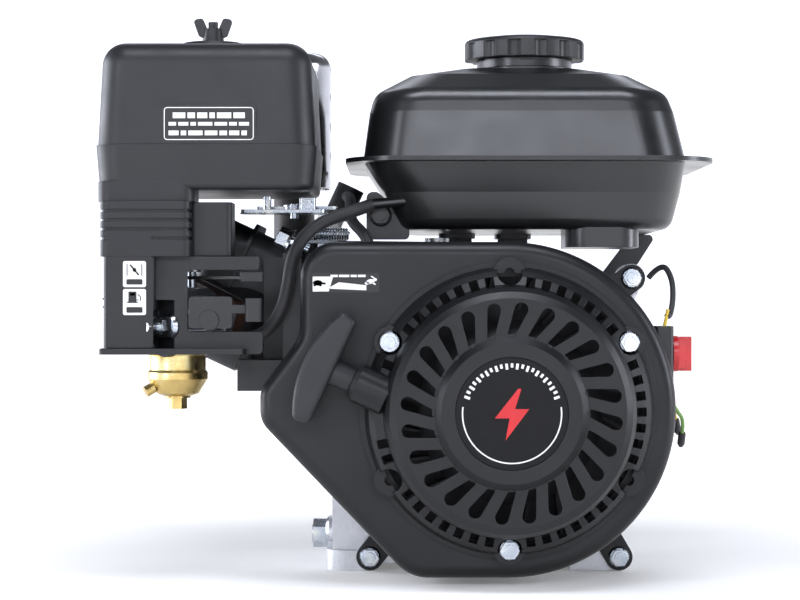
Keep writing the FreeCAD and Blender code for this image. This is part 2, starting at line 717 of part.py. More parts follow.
def recoil_case():
    outer = revolve_y([(0, HOUSING_FRONT), (0, -172)] + recoil_profile(0), CRANK_X, CRANK_Z)
    flange = disc_y(CRANK_X, CRANK_Z, RECOIL_R, HOUSING_FRONT - 3, HOUSING_FRONT)
    lobes = []
    for turn in RECOIL_HOLES:
        p = CRANK + polar(RECOIL_PCD_R, turn)
        lobes.append(disc_y(p.x, p.z, 9.5, -141, HOUSING_FRONT))
    inner = revolve_y([(0, HOUSING_FRONT + EPS), (0, -172 + RECOIL_SHELL)] + recoil_profile(RECOIL_SHELL)
                      + [(86 - RECOIL_SHELL, HOUSING_FRONT + EPS)], CRANK_X, CRANK_Z)
    outlet = rod(CRANK + V(0, PULL_Y, 0) + PULL_DIR * 70 + rope_offset(), PULL_DIR, 11.5, 19)
    body = join([outer, flange, outlet] + lobes).cut(inner)
    post = disc_y(CRANK_X, CRANK_Z, 7, -172 + RECOIL_SHELL - EPS, -140)
    body = join([body, post])
    body = body.cut(disc_y(CRANK_X, CRANK_Z, 33, -175, -170.8))
    for i in range(SLOTS):
        body = body.cut(slot_tool(46.5, 60.5, 4.5, 8, 22, 360 / SLOTS * i))
    for sector in range(6):
        for i in range(-3, 4):
            turn = 60 * sector + 7 * i
            if abs(((turn + 360) % 360) - 174) < 14:
                continue
            vent = box(74, 80.5, -158, -140, -2.6, 2.6)
            vent.rotate(V(0, 0, 0), AXIS_Y, -turn)
            vent.translate(CRANK)
            body = body.cut(vent)
    for turn in RECOIL_HOLES:
        p = CRANK + polar(RECOIL_PCD_R, turn)
        body = body.cut(disc_y(p.x, p.z, 3, -160, HOUSING_FRONT + EPS))
        body = body.cut(disc_y(p.x, p.z, 7.4, -160, -141))
    return body.cut(rod(CRANK + V(0, PULL_Y, 0) + PULL_DIR * 60 + rope_offset(), PULL_DIR, 6.0, 40))


def rope_offset():
    """The rope's line of pull stands this far from the reel's axis."""
    lift = V(math.sin(math.radians(PULL_TILT)), 0, math.cos(math.radians(PULL_TILT)))
    return lift * -22.5


def rope_guide():
    start = CRANK + V(0, PULL_Y, 0) + PULL_DIR * 72 + rope_offset()
    sleeve = rod(start, PULL_DIR, 6.0, 17)
    lip = Part.makeCone(10.5, 8.5, 3, start + PULL_DIR * 17, PULL_DIR)
    return join([sleeve, lip]).cut(rod(start - PULL_DIR * 5, PULL_DIR, ROPE_R + 0.4, 40))


def recoil_bolts():
    shapes = []
    for turn in RECOIL_BOLTED:
        p = CRANK + polar(RECOIL_PCD_R, turn)
        shapes.append(flange_bolt(V(p.x, -141, p.z), V(0, -1, 0), 3, 16))
    for p in HOUSING_LUGS:
        seat = V(p.x, p.y - SHEET, p.z)
        shapes.append(flange_bolt(seat, V(0, -1, 0), 3, 20))
    return Part.makeCompound(shapes)


def recoil_badge():
    disc = disc_y(CRANK_X, CRANK_Z, 32.6, -171.6, -170.8)
    return disc


def starter_reel():
    profile = [(7.2, -167), (REEL_R - 8, -163.5), (REEL_R, -156), (REEL_R, -154.5), (ROPE_TANGENT - 8, -154.5),
               (ROPE_TANGENT - 8, -145.5), (REEL_R, -145.5), (REEL_R, -143.5), (7.2, -143.5)]
    reel = revolve_y(profile, CRANK_X, CRANK_Z)
    for i in range(3):
        p = CRANK + polar(24, 120 * i)
        reel = reel.cut(disc_y(p.x, p.z, 5, -172, -158))
    return reel


def rope_coil():
    """The wound rope, turn beside turn, as one ring."""
    return ring_y(CRANK_X, CRANK_Z, REEL_R - 3, ROPE_TANGENT - 8, -154.5, -145.5)


def starter_ratchet():
    """The friction plate that holds the pawls on the reel's inner face."""
    plate = ring_y(CRANK_X, CRANK_Z, 22, 7.2, -143.5, -141)
    pawls = []
    for side in (0, 180):
        pawl = box(14, 32, -143.5, -138.5, -4, 4)
        pawl.rotate(V(0, 0, 0), AXIS_Y, side + 20)
        pawl.translate(CRANK)
        pawls.append(pawl)
    return join([plate] + pawls)


def handle_frame(along, across):
    """A point in the pull plane: along the pull from the guide, and across it upwards."""
    lift = V(math.sin(math.radians(PULL_TILT)), 0, math.cos(math.radians(PULL_TILT)))
    start = CRANK + V(0, PULL_Y, 0) + PULL_DIR * 92.2 + rope_offset()
    return start + PULL_DIR * along + lift * across


def starter_handle():
    stem = Part.makeCone(7, 8.5, 16, handle_frame(0, 0), PULL_DIR)
    corners = [handle_frame(12, 33), handle_frame(22, 35), handle_frame(22, -35), handle_frame(12, -33)]
    bulge = handle_frame(31, 0)
    edges = [Part.makeLine(corners[3], corners[0]), Part.makeLine(corners[0], corners[1]),
             Part.Arc(corners[1], bulge, corners[2]).toShape(), Part.makeLine(corners[2], corners[3])]
    face = Part.Face(Part.Wire(edges))
    face.translate(V(0, -11, 0))
    grip = face.extrude(V(0, 22, 0))
    grip = grip.makeFillet(3.5, grip.Edges)
    return join([grip, stem]).cut(rod(handle_frame(-1, 0), PULL_DIR, ROPE_R, 15))


def rope_lead():
    """The short free rope from inside the guide into the handle."""
    return rod(handle_frame(-22, 0), PULL_DIR, ROPE_R, 35.5)


# ---------- rotating group ----------

def crank_web(y0, y1):
    """A web with its counterweight opposite the crankpin."""
    weight = disc_y(0, 0, WEB_R, y0, y1).common(box(-60, 8, y0, y1, -60, 60))
    cheek = prism_y([(-10, -20, 4), (THROW + 17, -15, 12), (THROW + 17, 15, 12), (-10, 20, 4)], y0, y1)
    web = join([weight, cheek])
    web.rotate(V(0, 0, 0), AXIS_Y, 180 + TILT)
    web.translate(CRANK)
    return web


def gear(x, z, pitch, teeth, y0, y1, turn):
    body = disc_y(x, z, pitch - TOOTH, y0, y1)
    parts = [body]
    for i in range(teeth):
        tooth = box(pitch - TOOTH - 2, pitch + TOOTH * 0.35, y0, y1, -1.0, 1.0)
        tooth.rotate(V(0, 0, 0), AXIS_Y, -(turn + 360 / teeth * i))
        tooth.translate(V(x, 0, z))
        parts.append(tooth)
    return join(parts)


def crankshaft():
    front = disc_y(CRANK_X, CRANK_Z, JOURNAL_R, -58, -WEB_IN)
    taper = Part.makeCone(JOURNAL_R, 10, 27, V(CRANK_X, -58, CRANK_Z), V(0, -1, 0))
    thread = disc_y(CRANK_X, CRANK_Z, 7, -104, -84)
    back = disc_y(CRANK_X, CRANK_Z, JOURNAL_R, WEB_IN, PTO_FACE)
    shaft = disc_y(CRANK_X, CRANK_Z, PTO_R, PTO_FACE - EPS, PTO_END)
    shaft = shaft.makeChamfer(1, [e for e in shaft.Edges if at_y(PTO_END)(e)])
    pin_at = CRANK + polar(THROW, 180 - TILT)
    pin = disc_y(pin_at.x, pin_at.z, PIN_R, -WEB_IN - EPS, WEB_IN + EPS)
    webs = [crank_web(-WEB_OUT, -WEB_IN), crank_web(WEB_IN, WEB_OUT)]
    gear_wheel = gear(CRANK_X, CRANK_Z, CRANK_GEAR_R, 20, GEAR_Y0, GEAR_Y1, MESH_TURN)
    body = join([front, taper, thread, back, shaft, pin, gear_wheel] + webs)
    body = body.cut(box(CRANK_X - 2.38, CRANK_X + 2.38, PTO_FACE + 8, PTO_END + 1,
                        CRANK_Z + PTO_R - 2.4, CRANK_Z + 20))
    return body.cut(disc_y(CRANK_X, CRANK_Z, 3.4, PTO_END - 28, PTO_END + 1))


def rod_big_end():
    pin_at = CRANK + polar(THROW, 180 - TILT)
    eye = ring_y(pin_at.x, pin_at.z, PIN_R + 6.5, PIN_R, -10.5, 10.5)
    ears = []
    lift = polar(1, 90 - TILT)
    for side in (-1, 1):
        p = pin_at + lift * (side * (PIN_R + 5))
        ears.append(rod(p + polar(9, 180 - TILT), polar(1, -TILT), 5, 18))
    dipper = rod(pin_at + polar(PIN_R + 3, -TILT), polar(1, -TILT), 2.5, 12)
    body = join([eye] + ears + [dipper])
    return body.cut(disc_y(pin_at.x, pin_at.z, PIN_R, -20, 20))


def connecting_rod():
    pin_at = V(THROW + ROD_LENGTH, 0, 0)
    small = rod(V(pin_at.x, -10, 0), AXIS_Y, 13, 20)
    beam = box(THROW + PIN_R + 16, pin_at.x - 8, -7, 7, -9, 9)
    beam = beam.cut(box(0, pin_at.x - 14, 3, 10, -5.5, 5.5)).cut(box(0, pin_at.x - 14, -10, -3, -5.5, 5.5))
    body = join([small, beam]).cut(rod(V(pin_at.x, -20, 0), AXIS_Y, 9, 40))
    return onto_cylinder(body)


def wrist_pin():
    pin = rod(V(THROW + ROD_LENGTH, -28, 0), AXIS_Y, 9, 56)
    return onto_cylinder(pin.cut(rod(V(THROW + ROD_LENGTH, -30, 0), AXIS_Y, 5.5, 60)))


def piston():
    pin_x = THROW + ROD_LENGTH
    body = rod(V(pin_x - 24, 0, 0), AXIS_X, BORE_R - 0.05, 24 + 17.5)
    body = body.cut(rod(V(pin_x - 25, 0, 0), AXIS_X, BORE_R - 4, 25 + 13.2))
    bosses = [rod(V(pin_x, -31, 0), AXIS_Y, 13, 19), rod(V(pin_x, 12, 0), AXIS_Y, 13, 19)]
    body = join([body] + bosses).common(rod(V(pin_x - 24, 0, 0), AXIS_X, BORE_R - 0.05, 42))
    for along in (13.5, 9.5, 4.5):
        groove = rod(V(pin_x + along, 0, 0), AXIS_X, BORE_R + 1, 1.5)
        body = body.cut(groove.cut(rod(V(pin_x + along - 1, 0, 0), AXIS_X, BORE_R - 3, 4)))
    return onto_cylinder(body.cut(rod(V(pin_x, -28, 0), AXIS_Y, 9, 56)))


def flywheel():
    web = ring_y(CRANK_X, CRANK_Z, 60, 7, -86, -72)
    rim = ring_y(CRANK_X, CRANK_Z, FLYWHEEL_R, 58, -92, -62)
    hub = ring_y(CRANK_X, CRANK_Z, 22, 7, -86, -58.5)
    body = join([web, rim, hub])
    return body.cut(Part.makeCone(JOURNAL_R, 10, 27, V(CRANK_X, -58, CRANK_Z), V(0, -1, 0)))


def cooling_fan():
    disc = ring_y(CRANK_X, CRANK_Z, FLYWHEEL_R - 3, 44, -95, -92)
    blades = []
    for i in range(20):
        blade = box(48, FAN_R - 4, -114, -94, -1.1, 1.1)
        blade.rotate(V(48, 0, 0), AXIS_Y, 28)
        blade.rotate(V(0, 0, 0), AXIS_Y, 18 * i)
        blade.translate(CRANK)
        blades.append(blade)
    return join([disc] + blades)


def starter_cup():
    cup = ring_y(CRANK_X, CRANK_Z, 39, 36.5, -139.5, -89)
    floor = ring_y(CRANK_X, CRANK_Z, 39, 7, -89, -86)
    nut = hexagon(V(CRANK_X, -89, CRANK_Z), V(0, -1, 0), 22, 12)
    nut = nut.cut(disc_y(CRANK_X, CRANK_Z, 7, -120, -80))
    cup = join([cup, floor, nut])
    for i in range(6):
        hole = box(34, 42, -132, -104, -5, 5)
        hole.rotate(V(0, 0, 0), AXIS_Y, 60 * i)
        hole.translate(CRANK)
        cup = cup.cut(hole)
    return cup


def camshaft():
    shaft = disc_y(CAM.x, CAM.z, 7.5, CASE_FRONT + 3, CASE_BACK + GASKET + 8)
    wheel = gear(CAM.x, CAM.z, CAM_GEAR_R, 40, GEAR_Y0, GEAR_Y1, MESH_TURN + 180 + 4.5)
    for i in range(5):
        hole = disc_y(CAM.x, CAM.z + 24, 7, GEAR_Y0 - 1, GEAR_Y1 + 1)
        hole.rotate(CAM, AXIS_Y, 72 * i)
        wheel = wheel.cut(hole)
    lobes = []
    for side, turn in ((-1, 40), (1, 150)):
        y = side * PUSHROD_Y
        base = disc_y(CAM.x, CAM.z, LOBE_R, y - LOBE_HALF, y + LOBE_HALF)
        nose = disc_y(CAM.x + NOSE_OFF, CAM.z, NOSE_R, y - LOBE_HALF, y + LOBE_HALF)
        bridge = box(CAM.x, CAM.x + NOSE_OFF, y - LOBE_HALF, y + LOBE_HALF, CAM.z - NOSE_R, CAM.z + NOSE_R)
        lobe = join([base, nose, bridge])
        lobe.rotate(CAM, AXIS_Y, turn)
        lobes.append(lobe)
    return join([shaft, wheel] + lobes)


# ---------- fan housing ----------

def housing_face():
    """The housing's front outline: a round end about the crank axis, a duct corner, a sloped side."""
    y = HOUSING_FRONT
    low = CRANK_Z - HOUSING_R
    top = CRANK_Z + HOUSING_R
    corners = [(CRANK_X, top, 0), (-106, top, 22), (-106, 150, 20), (-130, 118, 14), (-130, 99, 16),
               (-40, low, 26), (CRANK_X, low, 0)]
    edges = rounded_edges(corners, lambda p: V(p.x, y, p.y))[:-1]
    round_end = Part.Arc(V(CRANK_X, y, low), V(CRANK_X + HOUSING_R, y, CRANK_Z), V(CRANK_X, y, top))
    return Part.Face(Part.Wire(edges + [round_end.toShape()]))


def housing_shell():
    face = housing_face()
    outer = face.extrude(V(0, HOUSING_BACK - HOUSING_FRONT, 0))
    outer = fillet_where(outer, 8, at_y(HOUSING_FRONT))
    inner = face.makeOffset2D(-SHEET)
    inner = inner.extrude(V(0, HOUSING_BACK - HOUSING_FRONT, 0))
    inner = fillet_where(inner, 6.2, at_y(HOUSING_FRONT))
    inner.translate(V(0, SHEET, 0))
    return outer.cut(inner)


def fan_housing():
    shell = housing_shell()
    shell = shell.cut(disc_y(CRANK_X, CRANK_Z, 80, HOUSING_FRONT - 5, HOUSING_FRONT + 5))
    lugs = []
    for p, toward in zip(HOUSING_LUGS, (V(-40, 0, 40), V(75, 0, 40), V(80, 0, 170))):
        pad = disc_y(p.x, p.z, 8.6, p.y - SHEET, p.y)
        angle = math.degrees(math.atan2(toward.z - p.z, toward.x - p.x))
        reach = (V(toward.x, 0, toward.z) - V(p.x, 0, p.z)).Length
        tongue = box(0, reach, -SHEET, 0, -8.6, 8.6)
        tongue.rotate(V(0, 0, 0), AXIS_Y, -angle)
        tongue.translate(p)
        lugs.append(join([pad, tongue]))
    shell = join([shell] + lugs)
    inside = housing_face().makeOffset2D(-SHEET - 6).extrude(V(0, 30, 0))
    inside.translate(V(0, HOUSING_BACK - HOUSING_FRONT - 20, 0))
    shell = shell.cut(inside)
    for p in HOUSING_LUGS:
        shell = shell.cut(disc_y(p.x, p.z, 3, p.y - 10, p.y + 10))
    for turn in RECOIL_BOLTED:
        p = CRANK + polar(RECOIL_PCD_R, turn)
        nut = disc_y(p.x, p.z, 6, HOUSING_FRONT + SHEET - 0.3, HOUSING_FRONT + 6)
        shell = join([shell, nut])
        shell = shell.cut(disc_y(p.x, p.z, 3, HOUSING_FRONT - 5, HOUSING_FRONT + 12))
    switch_hole = rod(V(100, SWITCH_Y, SWITCH_Z), AXIS_X, 5, 40)
    lead_hole = rod(LEAD_HOLE - AXIS_Z * 8, AXIS_Z, 7, 20)
    return cut_all(shell, [switch_hole, lead_hole])


LEAD_HOLE = V(-64, -74, HOUSING_TOP)


def cylinder_shroud():
    """The bent sheet that leads the air from the housing round the cylinder."""
    side = box(-132, -106.5, -57, -57 + SHEET, 120, HOUSING_TOP - 8)
    upper = box(-118, -106.5, -92, -50, 122, HOUSING_TOP - 6)
    lower = box(-146, -106.5, -92, -50, 116, 135)
    outer = join([upper, lower])
    inner = join([box(-118 + SHEET, -100, -92 + SHEET, -40, 122 + SHEET, HOUSING_TOP - 6 - SHEET),
                  box(-146 + SHEET, -100, -92 + SHEET, -40, 116 + SHEET, 135 - SHEET)])
    return join([outer.cut(inner), side]).cut(housing_solid())


def ignition_coil():
    """Laminated core near the flywheel rim, its winding, and the high-tension lead with its boot."""
    core = box(FLYWHEEL_R + 0.8, FLYWHEEL_R + 26, -84, -70, -26, -16)
    core = core.fuse(box(FLYWHEEL_R + 0.8, FLYWHEEL_R + 26, -84, -70, 16, 26))
    core = core.fuse(box(FLYWHEEL_R + 18, FLYWHEEL_R + 26, -84, -70, -26, 26))
    winding = box(FLYWHEEL_R + 4, FLYWHEEL_R + 26, -90, -64, -12, 12)
    body = join([core, winding])
    body.rotate(V(0, 0, 0), AXIS_Y, -145)
    body.translate(CRANK)
    plug = onto_cylinder(rod(V(DECK + GASKET + 16, 0, -86), AXIS_Z, 9, 22))
    elbow = rod(BOOT_END - V(0, -6, 0), V(0, -1, 0), 6, 12)
    lead = hose(lead_points(), 3.5)
    boot = join([plug, elbow]).cut(spark_plug())
    return Part.makeCompound([join([body, lead.cut(boot)]), boot])


BOOT_END = onto_cylinder(Part.Vertex(DECK + GASKET + 16, 0, -79)).Vertexes[0].Point


def lead_points():
    start = BOOT_END + V(0, -6, 0)
    return [start, start + V(3, -22, -2), V(-77, -57, 222), V(-68, -70, 213), V(-63, -78, 201),
            V(-62, -79, 188), V(-66, -78, 174)]


# ---------- fuel tank ----------

def tank_upper_solid(inset):
    """The upper half: nearly upright sides, a soft shoulder and a low crown."""
    i = inset
    sections = [(-69 + i, 133.5 - i, TANK_FRONT + i, TANK_BACK - i, 30 - i, TANK_SEAM - 0.1),
                (-65 + i, 126.5 - i, TANK_FRONT + 4 + i, TANK_BACK - 4 - i, 30 - i, TANK_SEAM + 30),
                (-62 + i, 122.0 - i, TANK_FRONT + 6 + i, TANK_BACK - 6 - i, 30 - i, TANK_SEAM + 42)]
    body = Part.makeLoft([section_wire(s) for s in sections], True, True)
    top = TANK_SEAM + 42
    crown = Part.makeLoft([section_wire((-62 + i, 122 - i, TANK_FRONT + 6 + i, TANK_BACK - 6 - i,
                                        30 - i, top)),
                           section_wire((-40 + i, 100 - i, TANK_FRONT + 26 + i, TANK_BACK - 26 - i, 26 - i,
                                         top + 13 - i)),
                           section_wire((-10 + i, 72 - i, TANK_FRONT + 50 + i, TANK_BACK - 50 - i, 18 - i,
                                         top + 19 - i))], True, True)
    whole = join([body, crown])
    edges = [e for e in whole.Edges if abs(e.BoundBox.ZMin - top) < 1e-3 and abs(e.BoundBox.ZMax - top) < 1e-3]
    return whole.makeFillet(13 - i, edges)


def section_wire(section):
    x0, x1, y0, y1, radius, z = section
    return rounded_wire(frame_corners(x0, x1, y0, y1, radius), lambda p: V(p.x, p.y, z))


def tank_lower_solid(inset):
    i = inset
    sections = [(-69 + i, 133.5 - i, TANK_FRONT + i, TANK_BACK - i, 30 - i, TANK_SEAM + 0.1),
                (-56 + i, 130.5 - i, TANK_FRONT + 8 + i, TANK_BACK - 8 - i, 28 - i, TANK_SEAM - 20),
                (-45 + i, 124.5 - i, TANK_FRONT + 14 + i, TANK_BACK - 14 - i, 24 - i, TANK_SEAM - 43 + i)]
    body = Part.makeLoft([section_wire(s) for s in sections], True, True)
    low = TANK_SEAM - 43 + i
    return fillet_where(body, 9 - i, at_z(low))


def tank_upper():
    flange = block(-80, 150, TANK_FRONT - 10, TANK_BACK + 10, TANK_SEAM, TANK_SEAM + 1.4, 38)
    body = join([tank_upper_solid(0).cut(box(-200, 200, -200, 200, TANK_SEAM - 5, TANK_SEAM)), flange])
    body = body.cut(tank_upper_solid(TANK_SHEET))
    return body.cut(rod(V(CAP_X, CAP_Y, 300), AXIS_Z, NECK_R - 2, 60))


def tank_lower():
    flange = block(-80, 150, TANK_FRONT - 10, TANK_BACK + 10, TANK_SEAM - 1.4, TANK_SEAM, 38)
    sump = block(58, 104, -76, -10, 205, 225, 14)
    body = tank_lower_solid(0).cut(box(-200, 200, -200, 200, TANK_SEAM, TANK_SEAM + 5))
    body = join([body, flange, sump])
    hollow = tank_lower_solid(TANK_SHEET).fuse(block(59.2, 102.8, -74.8, -11.2, 206.2, 225, 12.8))
    outlet = rod(V(-36, -74, 234.4), V(-1, 0, -0.1), 3.2, 27)
    return join([body.cut(hollow), outlet])


def fuel_neck():
    skirt = revolve_z([(NECK_R + 5, 319.5), (NECK_R + 5, 321.5), (NECK_R, 322.5), (NECK_R, NECK_TOP),
                       (NECK_R - 2.6, NECK_TOP), (NECK_R - 2.6, 312), (NECK_R - 2, 312), (NECK_R - 2, 319.5)],
                      CAP_X, CAP_Y)
    return skirt.cut(tank_upper_solid(0))


def fuel_cap():
    cap = rod(V(CAP_X, CAP_Y, NECK_TOP + 0.4), AXIS_Z, CAP_R, 13)
    cap = cap.makeFillet(3, [e for e in cap.Edges if abs(e.BoundBox.ZMin - NECK_TOP - 13.4) < 1e-3])
    for i in range(14):
        turn = 2 * math.pi * i / 14
        p = V(CAP_X, CAP_Y, NECK_TOP - 2) + V(math.cos(turn), math.sin(turn), 0) * (CAP_R + 3)
        cap = cap.cut(rod(p, AXIS_Z, 5.5, 12.5))
    plug = rod(V(CAP_X, CAP_Y, NECK_TOP - 9), AXIS_Z, NECK_R - 2.9, 10)
    dome = Part.makeCone(30, 26, 1.5, V(CAP_X, CAP_Y, NECK_TOP + 13.4), AXIS_Z)
    return join([cap, plug, dome])


BRACKET_FEET = [(-8, 26), (30, 40)]


def tank_brackets():
    """Three bent feet between the crankcase and the tank, and the bolts in them."""
    shapes = []
    low = TANK_SEAM - 43
    for x, y in BRACKET_FEET:
        leg = box(x - 10, x + 10, y - 2, y + 2, 170, low)
        tab = block(x - 12, x + 12, y - 12, y + 12, low - 3, low, 4)
        shapes.append(join([leg, tab]).cut(crankcase_outer()))
    strut = prism_y([(66, 158, 3), (86, 152, 3), (127, low, 3), (110, low, 3)], 38, 42)
    shapes.append(strut.cut(crankcase_outer()))
    plate = prism_y([(-67, 210, 3), (-40, 210, 3), (-40, 222, 3), (-60, 240, 4), (-67, 240, 4)], -62, -60)
    bolt = flange_bolt(V(-58, -62, 225), V(0, -1, 0), 3, 2)
    return Part.makeCompound(shapes + [join([plate.cut(tank_lower()), bolt])])


def crankcase_outer():
    return prism_y(CASE_CORNERS, CASE_FRONT, CASE_BACK)


def fuel_hose():
    points = [V(-63.3, -74, 231.6), V(-78, -77, 226), V(-93, -84, 221), V(-106, -93, 211), V(-112.5, -98, 196),
              V(-114.5, -101, 179), V(-119, -101, 163), FUEL_INLET + V(16.8, -2.52, 0), FUEL_INLET]
    return hose(points, 4.0).cut(tank_lower())


# ---------- intake ----------

ELBOW_FRONT = CARB.y - 48
ELBOW_TOP = 231.0


def intake_elbow():
    y = ELBOW_FRONT
    column = prism_z([(-223, y, 5), (-192, y, 3), (-192, y + 20, 2), (-201, y + 32, 2), (-223, y + 32, 3)],
                     139.5, 210)
    upper = block(-225, -171, y, y + 40, 198, ELBOW_TOP, 5)
    for i in range(4):
        z = 208 + 5.5 * i
        band = block(-230, -165, y - 4, y + 44, z, z + 1.6, 5)
        upper = upper.cut(band.cut(block(-224, -172, y + 1, y + 39, z - 1, z + 3, 4)))
    plate = carb_plate(CARB_HALF, CARB_HALF + 5, 29, 19)
    panel = prism_y([(-181, 139.5, 2), (-128, 139.5, 3), (-128, 153, 2), (-173, 153, 2), (-173, 190, 2),
                     (-130, 190, 2), (-130, 198, 2), (-181, 198, 2)], y + 7, y + 9.5)
    lip = prism_z([(-225, y - 3, 3), (-138, y - 3, 3), (-138, y + 12, 2), (-186, y + 16, 2), (-201, y + 34, 2),
                   (-225, y + 34, 3)], 139.5, 143)
    roof = box(-193, -131, y + 7, y + 24, 196, 198)
    web = box(-194, -180, y + 7, y + 9.5, 172, 198)
    duct = block(-173, -147, y + 12, y + 42, 198.5, ELBOW_TOP - 0.2, 4)
    body = join([column, upper, plate, panel, lip, roof, web, duct])
    bore = prism_z([(-220, y + 3, 3), (-195, y + 3, 2), (-195, y + 19, 1), (-203, y + 29, 1),
                    (-220, y + 29, 2)],
                   143, 205)
    bore_top = block(-222, -174, y + 3, y + 37, 201, 240, 3)
    body = body.cut(bore).cut(bore_top).cut(carb_rod(CARB_HALF - 1, 11, 16))
    for side in (-1, 1):
        body = body.cut(carb_stud(side, CARB_HALF - 1, 60, 3.0))
        body = body.cut(carb_stud(side, CARB_HALF + 5, 60, 10.5))
    return body


def air_filter_base():
    sections = [(FILTER_X0 + 2, FILTER_X1 - 2, FILTER_Y0 + 2, FILTER_Y1 - 2, 16, FILTER_BOTTOM),
                (FILTER_X0, FILTER_X1, FILTER_Y0, FILTER_Y1, 16, FILTER_SEAM)]
    tray = Part.makeLoft([section_wire(s) for s in sections], True, True)
    tray = fillet_where(tray, 4, at_z(FILTER_BOTTOM))
    step = block(-227, -169, FILTER_Y0 + 1.5, ELBOW_FRONT + 44, ELBOW_TOP, FILTER_BOTTOM + 5, 8)
    body = join([tray, step])
    hollow = block(FILTER_X0 + 5, FILTER_X1 - 5, FILTER_Y0 + 5, FILTER_Y1 - 5, FILTER_BOTTOM + PLASTIC,
                   FILTER_SEAM + 5, 12)
    duct = block(-222, -174, FILTER_Y0 + 5, ELBOW_FRONT + 37, 225, FILTER_BOTTOM + 10, 3)
    post = rod(V(FILTER_CX, FILTER_CY, FILTER_BOTTOM + 1), AXIS_Z, 6, 8)
    stud = rod(V(FILTER_CX, FILTER_CY, FILTER_BOTTOM + 1), AXIS_Z, 3.0, 107)
    return join([body.cut(hollow).cut(duct), post, stud])


def cover_solid(inset):
    i = inset
    sections = [(FILTER_X0 + 1 + i, FILTER_X1 - 1 - i, FILTER_Y0 + 1 + i, FILTER_Y1 - 1 - i, 16 - i, FILTER_SEAM),
                (FILTER_X0 + 4 + i, FILTER_X1 - 4 - i, FILTER_Y0 + 4 + i, FILTER_Y1 - 4 - i, 16 - i,
                 FILTER_TOP - i)]
    body = Part.makeLoft([section_wire(s) for s in sections], True, True)
    return fillet_where(body, 14 - i, at_z(FILTER_TOP - i))


def air_filter_cover():
    outer = cover_solid(0)
    boss = Part.makeCone(22, 18.5, 6, V(FILTER_CX, FILTER_CY, FILTER_TOP - 0.5), AXIS_Z)
    inner = cover_solid(PLASTIC).cut(box(-300, 0, -200, 200, 200, FILTER_SEAM))
    skirt = rod(V(FILTER_CX, FILTER_CY, FILTER_SEAM - EPS), AXIS_Z, 300, EPS)
    body = join([outer, boss]).cut(inner).cut(skirt)
    return body.cut(rod(V(FILTER_CX, FILTER_CY, FILTER_TOP - 20), AXIS_Z, 3.4, 40))


def filter_element():
    body = block(-218, -107, FILTER_Y0 + 10, FILTER_Y1 - 10, FILTER_BOTTOM + PLASTIC + 7, 312, 14)
    core = block(-197, -129, FILTER_CY - 34, FILTER_CY + 34, 200, 306, 10)
    return body.cut(core).cut(rod(V(FILTER_CX, FILTER_CY, 300), AXIS_Z, 3.5, 30))


def wing_nut():
    top = FILTER_TOP + 5.5
    hub = Part.makeCone(7, 5.5, 9, V(FILTER_CX, FILTER_CY, top + 0.3), AXIS_Z)
    wings = []
    for side in (-1, 1):
        wing = prism_y([(side * 3, top + 2, 0.8), (side * 9, top + 5, 1.5), (side * 12.5, top + 15, 2),
                        (side * 6.5, top + 16, 2), (side * 3, top + 8, 0.8)][::side], -1.6, 1.6)
        wing.translate(V(FILTER_CX, FILTER_CY, 0))
        wings.append(wing)
    return join([hub] + wings).cut(rod(V(FILTER_CX, FILTER_CY, top - 5), AXIS_Z, 3.4, 40))


# ---------- carburettor levers ----------

def lever_shaft(at, top, low):
    shaft = rod(V(at.x, at.y, low), AXIS_Z, SHAFT_R, top - low)
    plate = rod(V(at.x, at.y, CARB.z) - AIR_DIR * 0.6, AIR_DIR, 10.6, 1.2)
    return join([shaft, plate])


def choke_lever():
    shaft = lever_shaft(CHOKE_AT, 187, CARB.z - 13.5)
    y = ELBOW_FRONT
    arm = prism_z([(CHOKE_AT.x - 6, CHOKE_AT.y + 5, 4), (CHOKE_AT.x - 4, CHOKE_AT.y - 7, 4), (-135, y + 13, 2),
                   (-129, y + 13, 2), (-129, y + 21, 3)], 184.5, 186.5)
    tab = block(-142, -128, y + 11, y + 14, 183, 189, 1.2)
    return join([shaft, arm, tab])


def throttle_shaft():
    shaft = lever_shaft(THROTTLE_AT, 192, CARB.z - 13.5)
    arm = prism_z([(THROTTLE_AT.x - 5, THROTTLE_AT.y - 6, 3), (THROTTLE_AT.x + 5, THROTTLE_AT.y - 6, 3),
                   (THROTTLE_AT.x + 4, THROTTLE_AT.y + 24, 3), (THROTTLE_AT.x - 4, THROTTLE_AT.y + 24, 3)],
                  189.5, 191.5)
    return join([shaft, arm])


FUEL_HUB = V(-160, CARB.y - 36, 160)


def fuel_lever():
    """The fuel-valve plate, its hub and its hand lever; it turns about an axis along Y."""
    y = FUEL_HUB.y
    hub = disc_y(FUEL_HUB.x, FUEL_HUB.z, 6, y - 10, y + 6)
    plate = prism_y([(FUEL_HUB.x - 12, FUEL_HUB.z - 5, 2), (FUEL_HUB.x + 14, FUEL_HUB.z - 5, 2),
                     (FUEL_HUB.x + 14, FUEL_HUB.z + 14, 2), (FUEL_HUB.x - 12, FUEL_HUB.z + 14, 2)], y - 9, y - 7.5)
    arm = box(FUEL_HUB.x, -133, y - 9, y - 6, FUEL_HUB.z + 4, FUEL_HUB.z + 9)
    grip = block(-138, -128, y - 15, y - 6, FUEL_HUB.z - 1, FUEL_HUB.z + 13, 2)
    return join([hub, plate, arm, grip])


# ---------- governor and throttle control ----------

CONTROL_Z = 226.0


def governor_arm():
    shaft = rod(GOV_AT - AXIS_Z * 8, AXIS_Z, 4 - RUN_GAP, 46)
    clamp = rod(V(GOV_AT.x, GOV_AT.y, 205), AXIS_Z, 8, 7)
    arm = prism_z([(GOV_AT.x + 5, GOV_AT.y + 6, 3), (GOV_AT.x + 8, GOV_AT.y - 5, 3), (-112, -73, 3),
                   (-116, -66, 3)], HOUSING_TOP + 0.5, HOUSING_TOP + 2.5)
    return join([shaft, clamp, arm])


